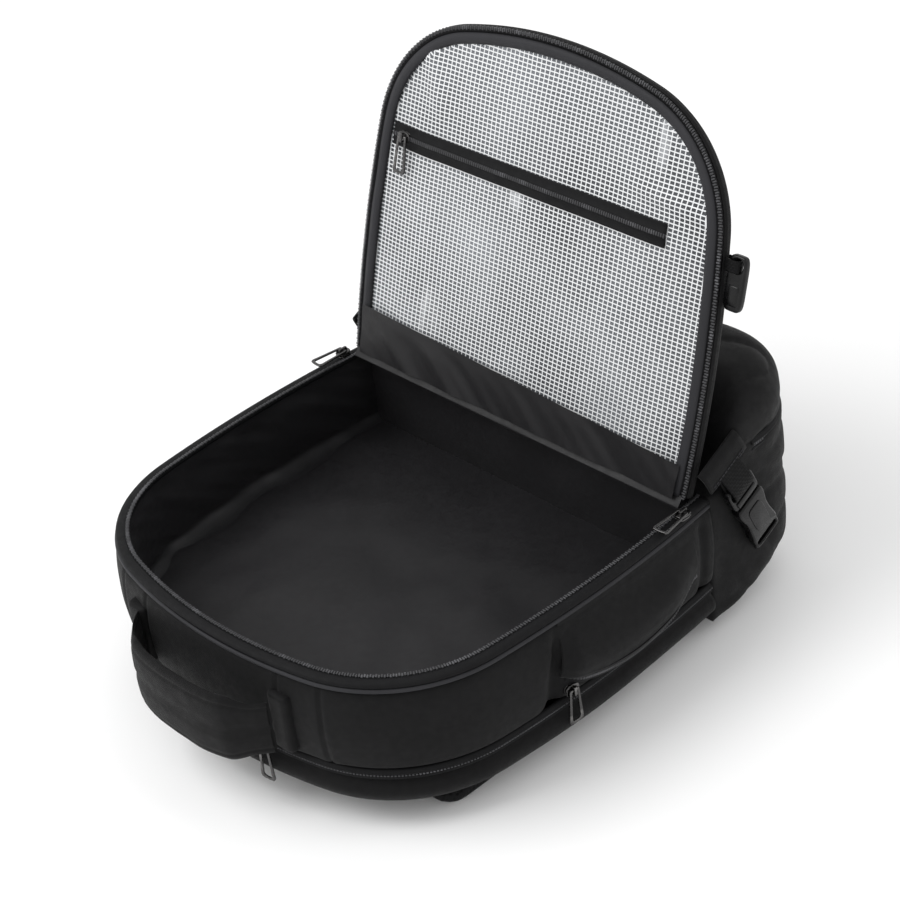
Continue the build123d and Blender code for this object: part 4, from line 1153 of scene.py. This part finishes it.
# %% Hinge cloth
def hinge_place(u, w):
    x = (2 * u - 1) * (HALF - 0.0125)
    tuck = 0.0010 * ripple((x * 30, w * 2, 1), 1, 79) * sin(pi * w)
    if w < 0.55:
        t = w / 0.55
        return Vector((x, JOINT - 0.004 - 0.0175 * t, RIM_TOP - 0.0015 + 0.0022 * t + tuck))
    t = (w - 0.55) / 0.45
    start = Vector((x, JOINT - 0.0215, RIM_TOP + 0.0007))
    end = lid_point(x, 0.010, 0.0022 + tuck)
    return start.lerp(end, t)


hinge = make_piece("hinge_cloth", laid_cloth(110, 22, hinge_place, (0.31, 0.035),
                                             facing=(0, -1, 0.4)),
                   LINING, None, "lining_fabric", ["hinge_panel"])
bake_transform(hinge)

# %% [markdown]
# ## Tools for pads, straps and moulded parts
# Pads are blocks with rounded corners under an even skin. Webbing is a flat strip laid along
# a smooth path. Moulded parts are flat plates and rings with rounded edges, drawn flat and
# then stood where they belong.


# %% Pads, strips and plates
def padded_block(low, high, radius, edge, voxel=0.004, relief=None):
    """Block whose corners are round as seen from above, under an even skin."""
    bm = bmesh.new()
    size = high - low
    bmesh.ops.create_cube(bm, size=1, matrix=Matrix.Translation((low + high) / 2)
                          @ Matrix.Diagonal((*size, 1)))
    upright = [e for e in bm.edges
               if abs((e.verts[0].co - e.verts[1].co).normalized().z) > 0.9]
    bmesh.ops.bevel(bm, geom=upright, offset=radius, segments=8, profile=0.5, affect="EDGES",
                    material=-1)
    caps = [f for f in bm.faces if abs(f.normal.z) > 0.9]
    rims = list({e for f in caps for e in f.edges})
    bmesh.ops.bevel(bm, geom=rims, offset=edge, segments=4, profile=0.5, affect="EDGES",
                    material=-1)
    bm = remeshed(bm, voxel)
    for _ in range(2):
        bmesh.ops.smooth_vert(bm, verts=bm.verts, factor=0.5, use_axis_x=True, use_axis_y=True,
                              use_axis_z=True)
    bm.normal_update()
    if relief:
        moves = [(v, v.normal * relief(v.co)) for v in bm.verts]
        for vert, move in moves:
            vert.co += move
    bmesh.ops.recalc_face_normals(bm, faces=bm.faces)
    return bm


def smooth_path(points, t):
    """Point at t from 0 to 1 on a smooth curve through the points."""
    at = min(t, 0.999999) * (len(points) - 1)
    i = int(at)
    t = at - i
    a, b, c, d = (points[min(max(i + k, 0), len(points) - 1)] for k in (-1, 0, 1, 2))
    return 0.5 * (2 * b + (c - a) * t + (2 * a - 5 * b + 4 * c - d) * t**2
                  + (3 * b - a - 3 * c + d) * t**3)


def strip(name, points, across, width, finish, body, slot, replaces=(), thick=0.0014, wave=0.0):
    """Flat strap of this width along a smooth path."""
    points = [Vector(p) for p in points]
    length = sum((b - a).length for a, b in zip(points, points[1:]))
    across = Vector(across).normalized()
    count = max(12, int(length / 0.002))

    def place(u, w):
        return smooth_path(points, u) + across * (w - 0.5) * width

    bm = laid_cloth(count, 12, place, (length, width))
    bm.normal_update()
    for vert in bm.verts:
        vert.co += vert.normal * wave * ripple(vert.co, 40, 3)
    piece = make_piece(name, bm, finish, body, slot, replaces)
    wall = piece.modifiers.new("thickness", "SOLIDIFY")
    wall.thickness, wall.offset = thick, 0
    return piece


def flat_loop(bm, points):
    """Closed loop of edges in the plane z = 0."""
    verts = [bm.verts.new((x, y, 0)) for x, y in points]
    return [bm.edges.new(pair) for pair in zip(verts, verts[1:] + verts[:1])]


LOOP_POINTS = 40


def superellipse(half_x, half_y, squareness, centre=(0, 0)):
    """Points of a rounded box; squareness 2 is an ellipse and more is squarer."""
    points = []
    for i in range(LOOP_POINTS):
        c, s = cos(2 * pi * i / LOOP_POINTS), sin(2 * pi * i / LOOP_POINTS)
        points.append((centre[0] + half_x * abs(c) ** (2 / squareness) * (1 if c >= 0 else -1),
                       centre[1] + half_y * abs(s) ** (2 / squareness) * (1 if s >= 0 else -1)))
    return points


def flat_plate(outer, hole, thick, edge, stand):
    """Plate between an outer loop and a hole, or solid, with rounded edges, stood by a
    matrix. Its foot is at z = 0 of the matrix."""
    part = bmesh.new()
    edges = flat_loop(part, outer)
    if hole:
        edges += flat_loop(part, hole)
        faces = bmesh.ops.bridge_loops(part, edges=edges)["faces"]
    else:
        faces = bmesh.ops.contextual_create(part, geom=edges)["faces"]
    pulled = bmesh.ops.extrude_face_region(part, geom=faces)["geom"]
    bmesh.ops.translate(part, vec=(0, 0, thick),
                        verts=[v for v in pulled if isinstance(v, bmesh.types.BMVert)])
    bmesh.ops.recalc_face_normals(part, faces=part.faces)
    sharp = [e for e in part.edges if len(e.link_faces) == 2 and e.calc_face_angle() > 0.9]
    bmesh.ops.bevel(part, geom=sharp, offset=edge, segments=3, profile=0.5, affect="EDGES",
                    material=-1)
    bmesh.ops.transform(part, matrix=stand, verts=part.verts)
    return part


def bars(boxes, edge, stand):
    """Rounded bars from (centre, size) pairs, stood by a matrix."""
    bm = bmesh.new()
    for centre, size in boxes:
        bmesh.ops.create_cube(bm, size=1, matrix=Matrix.Translation(centre)
                              @ Matrix.Diagonal((*size, 1)))
    bmesh.ops.bevel(bm, geom=bm.edges[:], offset=edge, segments=2, profile=0.5, affect="EDGES",
                    material=-1)
    bmesh.ops.transform(bm, matrix=stand, verts=bm.verts)
    return bm


def joined(*meshes):
    """All the meshes in one."""
    bm = bmesh.new()
    for part in meshes:
        data = bpy.data.meshes.new("part")
        part.to_mesh(data)
        part.free()
        bm.from_mesh(data)
        bpy.data.meshes.remove(data)
    return bm


# %% [markdown]
# ## The grab handle
# The handle is a padded band of the shell cloth, bowed away from the end face, with a seam
# along its middle. Its ends thin out and are folded flat into the two upright seams.

# %% Grab handle
GRIP_LOW, GRIP_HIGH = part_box("top_handle")
GRIP_MID = (GRIP_LOW.z + GRIP_HIGH.z) / 2
GRIP_REACH = 0.066


def grip_place(u, w):
    x = (2 * u - 1) * GRIP_REACH * (1.10 if u < 0.5 else 1.0)
    bow = max(0.0, 1 - min(1.0, abs(x) / 0.071) ** 2.8) ** 0.75
    wall_y = NEAR + abs(x) ** 2 / (2 * END_R)
    y = wall_y - 0.004 + (GRIP_LOW.y - 0.0010 - wall_y + 0.004) * bow
    full = 1 - ease(abs(x), 0.042, 0.060)
    half_tall = 0.0205 + 0.0055 * full
    half_deep = 0.0016 + 0.0030 * full
    turn = 2 * pi * w
    tall = half_tall * (abs(sin(turn)) ** 0.62) * (1 if sin(turn) >= 0 else -1)
    deep = half_deep * (abs(cos(turn)) ** 0.75) * (1 if cos(turn) >= 0 else -1)
    lean = 0.010 * bow * 0.25
    groove = 0.0011 * near(tall, 0, 0.0013) * (1 if deep < 0 else -1)
    groove += 0.0006 * near(abs(tall), half_tall * 0.8, 0.001) * (1 if deep < 0 else -1)
    crease = 0.0005 * ripple((x * 60, tall * 30, 2), 1, 83)
    return Vector((x, y + deep + groove + crease, GRIP_MID + tall - lean))


grip = make_piece("grab_handle_band", laid_cloth(120, 72, grip_place, (0.15, 0.11), wrap=True),
                  SHELL_UV, "top_handle", "shell_fabric", ["top_handle"])


def handle_end(side):
    x = side * (GRIP_REACH + 0.001) * (1.10 if side < 0 else 1.0)
    y = NEAR + x * x / (2 * END_R)
    return padded_block(Vector((x - 0.009, y - 0.0085, GRIP_MID - 0.0225)),
                        Vector((x + 0.009, y + 0.002, GRIP_MID + 0.0225)), 0.004, 0.0025, 0.0015)


for side, label in ((1, "right"), (-1, "left")):
    make_piece(f"grab_handle_end_{label}", handle_end(side), SHELL, "bag", "webbing",
               ["handle_anchors"] if side > 0 else [])

# %% [markdown]
# ## The compression straps
# On each side of the base a strap leans down the pod. Its upper piece is sewn on in a flat
# tab with bar tacks, and a side-release buckle joins it to the lower piece.

# %% Compression straps
LEAN = radians(26)
STRAP_TOP = (JOINT + 0.022, 0.122)


def strap_stand(side):
    """Frame of the compression strap: x runs down the strap and z stands off the pod."""
    down, out = Vector((0, sin(LEAN), -cos(LEAN))), Vector((side, 0, 0))
    turned = Matrix((down, out.cross(down), out)).transposed().to_4x4()
    return Matrix.Translation((side * POD_HIGH.x, *STRAP_TOP)) @ turned


def buckle_male(side):
    stand = strap_stand(side)
    frame_part = flat_plate(superellipse(0.0098, 0.0130, 7, centre=(0.0098, 0)),
                            superellipse(0.0030, 0.0104, 7, centre=(0.0075, 0)),
                            0.0062, 0.0011, stand @ Matrix.Translation((0, 0, 0.0026)))
    rib = bars([((0.0150, 0, 0.0090), (0.0050, 0.0200, 0.0020))], 0.0006, stand)
    prongs = bars([((0.0310, step, 0.0062), (0.0230, 0.0036, 0.0030))
                   for step in (-0.0095, 0, 0.0095)], 0.0007, stand)
    return joined(frame_part, rib, prongs)


def buckle_female(side):
    stand = strap_stand(side)
    half = [(0.0206, 0.0116), (0.0225, 0.0130), (0.0270, 0.0132), (0.0310, 0.0124),
            (0.0360, 0.0113), (0.0430, 0.0112), (0.0490, 0.0120), (0.0560, 0.0128),
            (0.0580, 0.0124)]
    outline_points = half + [(x, -y) for x, y in reversed(half)]
    body = flat_plate(outline_points, None, 0.0080, 0.0014,
                      stand @ Matrix.Translation((0, 0, 0.0023)))
    raised = flat_plate(superellipse(0.0125, 0.0070, 5, centre=(0.0400, 0)), None, 0.0009, 0.0004,
                        stand @ Matrix.Translation((0, 0, 0.0101)))
    tail = flat_plate(superellipse(0.0068, 0.0126, 7, centre=(0.0596, 0)),
                      superellipse(0.0020, 0.0104, 7, centre=(0.0622, 0)),
                      0.0062, 0.0011, stand @ Matrix.Translation((0, 0, 0.0030)))
    return joined(body, raised, tail)


for side, label in ((1, "right"), (-1, "left")):
    make_piece(f"buckle_male_{label}", buckle_male(side), BUCKLE, "bag", "buckle_plastic",
               [f"compression_male_{label}"])
    make_piece(f"buckle_female_{label}", buckle_female(side), BUCKLE,
               f"compression_female_{label}", "buckle_plastic", [f"compression_female_{label}"])
    stand = strap_stand(side)
    across = stand.to_3x3() @ Vector((0, 1, 0))
    replaced = ["compression_webbing"] if side > 0 else []
    upper = [(-0.024, 0.0006), (-0.014, 0.0030), (-0.004, 0.0038), (0.004, 0.0040),
             (0.0095, 0.0058), (0.0080, 0.0104), (0.0020, 0.0112), (-0.0080, 0.0088),
             (-0.0180, 0.0052), (-0.0235, 0.0034)]
    strip(f"compression_strap_upper_{label}", [stand @ Vector((a, 0, c)) for a, c in upper],
          across, 0.020, WEBBING, "bag", "webbing", replaced, wave=0.0004)
    lower = [(0.080, -0.0006), (0.072, 0.0016), (0.066, 0.0030), (0.0602, 0.0030),
             (0.052, 0.0014), (0.044, 0.0012)]
    strip(f"compression_strap_lower_{label}", [stand @ Vector((a, 0, c)) for a, c in lower],
          across, 0.020, WEBBING, "bag", "webbing", wave=0.0003)
    tab = [(-0.032, 0.0012), (-0.027, 0.0042), (-0.018, 0.0050), (-0.013, 0.0046)]
    strip(f"compression_tab_{label}", [stand @ Vector((a, 0, c)) for a, c in tab],
          across, 0.040, SHELL_UV, "bag", "shell_fabric", thick=0.0018)
    tacks = []
    for row in (-0.0165, -0.0145):
        for i in range(11):
            at = stand @ Vector((row, (i - 5) * 0.0031, 0.0062))
            tacks.append((at, across, stand.to_3x3() @ Vector((0, 0, 1))))
    make_piece(f"compression_tacks_{label}", teeth(tacks, (0.0024, 0.0009, 0.0007)), BINDING,
               "bag", "webbing")

# %% [markdown]
# ## The lid's buckle half
# A flat plastic plate with an oval hole hangs on a webbing loop from the lid's right edge.

# %% Lid buckle
TAB_V = 0.167
TAB_EDGE = side_half(HINGE.y - TAB_V, 0.008)
HOLE_X = TAB_EDGE + 0.0095
LID_STAND = Matrix.Translation(lid_point(HOLE_X, TAB_V, 0.0056)) @ OPEN_LID @ Matrix.Rotation(
    pi / 2, 4, "Z")
plate = flat_plate(superellipse(0.0185, 0.0072, 5, centre=(0.0110, 0)),
                   superellipse(0.0046, 0.0042, 2.4, centre=(-0.0005, 0)),
                   0.0048, 0.0012, LID_STAND)
ribs = bars([((0.0190, 0, 0.0024), (0.0140, 0.0084, 0.0062))], 0.0012, LID_STAND)
make_piece("lid_buckle_plate", joined(plate, ribs), BUCKLE, "lid_buckle", "buckle_plastic",
           ["lid_buckle"])
loop_path = [(TAB_EDGE - 0.006, 0.0052), (TAB_EDGE + 0.003, 0.0045), (HOLE_X - 0.003, 0.0040),
             (HOLE_X + 0.0012, 0.0052), (HOLE_X + 0.0016, 0.0090), (HOLE_X - 0.003, 0.0120),
             (TAB_EDGE + 0.003, 0.0118), (TAB_EDGE - 0.004, 0.0112)]
strip("lid_buckle_loop", [lid_point(x, TAB_V, depth) for x, depth in loop_path],
      OPEN_LID @ Vector((0, 1, 0)), 0.008, WEBBING, "lid", "webbing", ["lid_buckle_tab"],
      thick=0.0012)

# %% [markdown]
# ## Straps and pads under the bag
# The bag lies on its back, so the air-mesh pads and the shoulder straps are underneath. The
# pads are stuffed blocks, and each strap ends in a ladder lock on a webbing tail.


# %% Back pads
def quilted(p):
    """Slow swell with faint dimples."""
    return 0.0006 * ripple((p.x * 30, p.y * 30, 1), 1, 89)


def pad_stack(name, boxes, body, slot, replaced, radius, voxel=0.004, edge=0.004):
    meshes = [padded_block(Vector(low), Vector(high), radius, edge, voxel, quilted)
              for low, high in boxes]
    piece = make_piece(name, joined(*meshes), AIR_MESH, body, slot, replaced)
    return piece


PADS_LOW, PADS_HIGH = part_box("back_pads")
long_pads = [((x - 0.023, PADS_LOW.y, 0.0004), (x + 0.023, PADS_HIGH.y - 0.001, 0.0122))
             for x in (0.123, -0.123)]
lumbar = [((-0.035, PADS_HIGH.y - 0.092, 0.0004), (0.035, PADS_HIGH.y - 0.001, 0.0122))]
pad_stack("back_cushions", long_pads + lumbar, "bag", "air_mesh", ["back_pads"], 0.014)

# %% Shoulder straps
for side, label in ((1, "right"), (-1, "left")):
    low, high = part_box(f"shoulder_strap_{label}")
    low, inwards = low + Vector((0, 0.012, 0)), Vector((0.008, 0, 0))
    low, high = (low + inwards, high) if side < 0 else (low, high - inwards)
    pad_stack(f"strap_cushion_{label}", [(low, high)], f"shoulder_strap_{label}", "air_mesh",
              [f"shoulder_strap_{label}"], 0.015, voxel=0.003, edge=0.003)
    low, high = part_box(f"ladder_lock_{label}")
    mid, size = (low + high) / 2, high - low
    rungs = [((0, dy, 0), (size.x - 0.001, 0.0030, 0.0036))
             for dy in (-size.y / 2 + 0.0016, 0, size.y / 2 - 0.0016)]
    rails = [((dx, 0, 0), (0.0044, size.y, 0.0046))
             for dx in (-size.x / 2 + 0.0023, size.x / 2 - 0.0023)]
    make_piece(f"ladder_{label}", bars(rungs + rails, 0.0009, Matrix.Translation(mid)), BUCKLE,
               f"shoulder_strap_{label}", "buckle_plastic", [f"ladder_lock_{label}"])
    x = mid.x
    replaced = ["strap_anchors"] if side > 0 else []
    strip(f"strap_tail_{label}", [(x, high.y + 0.001, 0.0036), (x, high.y + 0.010, 0.0036),
                                  (x, JOINT - 0.020, 0.0042), (x, JOINT - 0.012, 0.0080),
                                  (x, JOINT - 0.002, 0.0115)],
          (1, 0, 0), 0.025, WEBBING, "bag", "webbing", replaced)
    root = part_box(f"shoulder_strap_{label}")[0].y
    anchor = padded_block(Vector((x - 0.015, root - 0.0100, 0.0050)),
                          Vector((x + 0.015, root + 0.0120, 0.0122)), 0.004, 0.0025, 0.0025)
    make_piece(f"strap_root_{label}", anchor, WEBBING, "bag", "webbing")

# %% [markdown]
# ## The lid's outer pocket
# On the back of the lid a shallow patch pocket stands out, closed by a zip along its side.


# %% Outer pocket
def rounded_inside(x, y, half_x, half_y, radius):
    """How far a point lies inside a rounded rectangle round the origin."""
    dx, dy = abs(x) - half_x + radius, abs(y) - half_y + radius
    if dx > 0 and dy > 0:
        return radius - sqrt(dx * dx + dy * dy)
    return radius - max(dx, dy)


def outer_pocket():
    half_x, low, high = 0.112, 0.040, 0.230
    mid, half_v = (low + high) / 2, (high - low) / 2

    def place(u, w):
        x, v = (2 * u - 1) * half_x, mid + (2 * w - 1) * half_v
        d = rounded_inside(x, v - mid, half_x, half_v, 0.030)
        puff = 0.0098 * ease(d, 0.0, 0.009) ** 0.6 + 0.0005 * ripple((x * 22, v * 22, 3), 1, 97)
        crease = 0.0006 * near(d, 0.0035, 0.0012)
        return lid_point(x, v, 0.0149 + (puff - crease if d > 0 else 0))

    bm = laid_cloth(110, 94, place, (0.224, 0.190), facing=tuple(lid_point(0, mid, 1.0)))
    middle = lid_point(0, mid, 0)
    across, upward = Vector((1, 0, 0)), (lid_point(0, mid + 0.1, 0) - middle).normalized()
    gone = [v for v in bm.verts if rounded_inside((v.co - middle).dot(across),
                                                   (v.co - middle).dot(upward),
                                                   half_x, half_v, 0.030) < -0.0005]
    bmesh.ops.delete(bm, context="VERTS", geom=gone)
    return bm


make_piece("outer_pocket_cloth", outer_pocket(), SHELL_UV, "lid", "shell_fabric", ["front_pocket"])


def front_zip_place(u, w):
    ridge = 0.0009 * near(w, 0.5, 0.18)
    return lid_point(0.1212 + 0.0096 * w, 0.044 + 0.180 * u, 0.0163 - ridge)


zip_cloth = make_piece("outer_pocket_zip", laid_cloth(90, 10, front_zip_place, (0.18, 0.0096),
                                                      facing=tuple(lid_point(0.126, 0.13, 1.0))),
                       ZIP_TAPE, "lid", "zip_tape", ["front_zip"])
thicken(zip_cloth, 0.0008)
spots = []
for i in range(94):
    here, ahead = front_zip_place((i + 0.5) / 94, 0.5), front_zip_place((i + 0.9) / 94, 0.5)
    spots.append((here, (ahead - here).normalized(), OPEN_LID @ Vector((0, 0, 1))))
make_piece("outer_pocket_coil", teeth(spots, (0.0012, 0.0026, 0.0012)), COIL, "lid", "zip_tape")


# %% [markdown]
# ## The base zip
# A zip runs across the end of the base pod and round both corners. Two lips stand over it.


# %% Base zip
ZIP_BASE_LOW, ZIP_BASE_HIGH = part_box("base_zip")
BASE_MID = (ZIP_BASE_LOW.z + ZIP_BASE_HIGH.z) / 2
BASE_CORNER_R = 0.058


def base_path(t, out):
    """Point on the pod's plan from the right side (0) round the end to the left side (1)."""
    start_y, end_y = ZIP_BASE_LOW.y, POD_HIGH.y
    side_len = end_y - BASE_CORNER_R - start_y
    end_len = 2 * (POD_HIGH.x - BASE_CORNER_R)
    arc = BASE_CORNER_R * pi / 2
    total = 2 * side_len + 2 * arc + end_len
    walked = min(t, 1 - t) * total
    flip = 1 if t <= 0.5 else -1
    if walked < side_len:
        x, y = POD_HIGH.x + out, start_y + walked
    elif walked < side_len + arc:
        turn = (walked - side_len) / BASE_CORNER_R
        x = POD_HIGH.x - BASE_CORNER_R + (BASE_CORNER_R + out) * cos(turn)
        y = end_y - BASE_CORNER_R + (BASE_CORNER_R + out) * sin(turn)
    else:
        x, y = POD_HIGH.x - BASE_CORNER_R - (walked - side_len - arc), end_y + out
    return Vector((flip * x, y, 0)), total


def base_zip_place(u, w):
    lips = 0.0011 * near(w, 0.30, 0.12) + 0.0011 * near(w, 0.70, 0.12) - 0.0012 * near(w, 0.5, 0.07)
    point, _ = base_path(u, 0.0012 + lips - 0.0015 * (near(w, 0, 0.06) + near(w, 1, 0.06)))
    return point + Vector((0, 0, BASE_MID + (w - 0.5) * 0.0105))


base_lips = make_piece("base_zip_lips", laid_cloth(260, 22, base_zip_place, (0.42, 0.0105),
                                                   facing=(0, 3, 0.14)),
                       ZIP_TAPE, "bag", "zip_tape", ["base_zip"])
thicken(base_lips, 0.0008)
spots = []
total = base_path(0, 0)[1]
for i in range(int(total / 0.0021)):
    t = (i + 0.5) * 0.0021 / total
    here, ahead = base_path(t, 0.0012)[0], base_path(t + 0.001, 0.0012)[0]
    along = (ahead - here).normalized()
    spots.append((here + Vector((0, 0, BASE_MID)), along, Vector((0, 0, 1)).cross(along)))
make_piece("base_zip_coil", teeth(spots, (0.0014, 0.0022, 0.0011)), COIL, "bag", "zip_tape")

# %% [markdown]
# ## The laptop sleeve
# Inside the rear compartment is a flat sleeve with its mouth at the handle end.

# %% Laptop sleeve
low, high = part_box("laptop_sleeve")
sleeve = bmesh.new()
bmesh.ops.create_cube(sleeve, size=1, matrix=Matrix.Translation((low + high) / 2)
                      @ Matrix.Diagonal((*(high - low), 1)))
mouth = [f for f in sleeve.faces if f.normal.y < -0.9]
bmesh.ops.delete(sleeve, geom=mouth, context="FACES_ONLY")
bmesh.ops.subdivide_edges(sleeve, edges=sleeve.edges[:], cuts=12, use_grid_fill=True)
make_piece("laptop_pocket", sleeve, LINING, "bag", "lining_fabric", ["laptop_sleeve"])
thicken(bpy.data.objects["laptop_pocket"], 0.002)

# %% [markdown]
# ## Sliders and pullers
# Every zip has a cast slider with a bridge over it, and a trapezoid ring that hangs from the
# bridge. The joints say where each ring is hinged, so both parts are drawn once and stood
# there.


# %% Sliders and pullers
def pull_stand(name):
    """Frame at a slider's seat: x runs along the hanging puller, z stands off the zip."""
    joint = next(j for j in frame["joints"] if j["name"] == f"{name}_puller_swing")
    pin, axis = Vector(joint["pos_m"]), Vector(joint["axis"]).normalized()
    low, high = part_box(f"{name}_puller")
    along = (low + high) / 2 - pin
    along = (along - axis * along.dot(axis)).normalized()
    off = axis.cross(along).normalized()
    turned = Matrix((along, off.cross(along), off)).transposed().to_4x4()
    return Matrix.Translation(pin) @ turned, pin, off


def slider_run(name, stand):
    """Direction of the zip at a slider, in the stand's own frame."""
    body_low, body_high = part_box(f"{name}_slider")
    size = body_high - body_low
    local = stand.to_3x3().inverted()
    best = max((Vector((1, 0, 0)), Vector((0, 1, 0)), OPEN_LID @ Vector((0, 1, 0))),
               key=lambda way: abs(way.dot(size)) if abs((local @ way).z) < 0.5 else 0)
    return local @ best


def make_slider(name):
    stand, pin, off = pull_stand(name)
    run = slider_run(name, stand)
    turned = Matrix.Rotation(atan2(run.y, run.x), 4, "Z")
    seat = stand @ Matrix.Translation((0, 0, -0.0041)) @ turned
    shape = [(-0.0054, -0.0024), (-0.0035, -0.0038), (0.0010, -0.0040), (0.0046, -0.0030),
             (0.0056, -0.0012), (0.0056, 0.0012), (0.0046, 0.0030), (0.0010, 0.0040),
             (-0.0035, 0.0038), (-0.0054, 0.0024)]
    lower = flat_plate(shape, None, 0.0011, 0.0003, seat)
    upper = flat_plate(shape, None, 0.0011, 0.0003, seat @ Matrix.Translation((0, 0, 0.0019)))
    neck = bars([((0.0042, 0, 0.0015), (0.0020, 0.0016, 0.0026))], 0.0003, seat)
    bridge = bars([((-0.0028, 0, 0.0042), (0.0011, 0.0022, 0.0030)),
                   ((0.0028, 0, 0.0042), (0.0011, 0.0022, 0.0030)),
                   ((0, 0, 0.0056), (0.0066, 0.0022, 0.0009))], 0.0004,
                  stand @ Matrix.Translation((0, 0, -0.0041)))
    return joined(lower, upper, neck, bridge)


def make_ring(name):
    stand, _, _ = pull_stand(name)
    outer = [(-0.0012, -0.0036), (-0.0002, -0.0041), (0.0100, -0.0049), (0.0238, -0.0060),
             (0.0256, -0.0050), (0.0260, -0.0020), (0.0260, 0.0020), (0.0256, 0.0050),
             (0.0238, 0.0060), (0.0100, 0.0049), (-0.0002, 0.0041), (-0.0012, 0.0036)]
    centre_x = 0.0124
    inner = []
    for x, y in outer:
        inner.append((centre_x + (x - centre_x) * 0.86, y * 0.60))
    return flat_plate(outer, inner, 0.0016, 0.00055, stand @ Matrix.Translation((0, 0, -0.0008)))


ZIPS = ("main_right", "main_left", "side_right", "side_left", "laptop", "base", "mesh", "front")
for name in ZIPS:
    make_piece(f"{name}_zip_slider", make_slider(name), GUNMETAL, f"{name}_slider", "gunmetal",
               [f"{name}_slider"], smooth=False)
    make_piece(f"{name}_zip_ring", make_ring(name), GUNMETAL, f"{name}_puller", "gunmetal",
               [f"{name}_puller"], smooth=True)

# %% [markdown]
# ## What keeps its CAD shape
# The stiff board behind the back panel is hidden and already right, so it only gets a
# finish.

# %% Board finish
for node, part in frame["nodes"].items():
    part.data.materials.clear()
    part.data.materials.append(BUCKLE if node == "back_board" else SHELL)
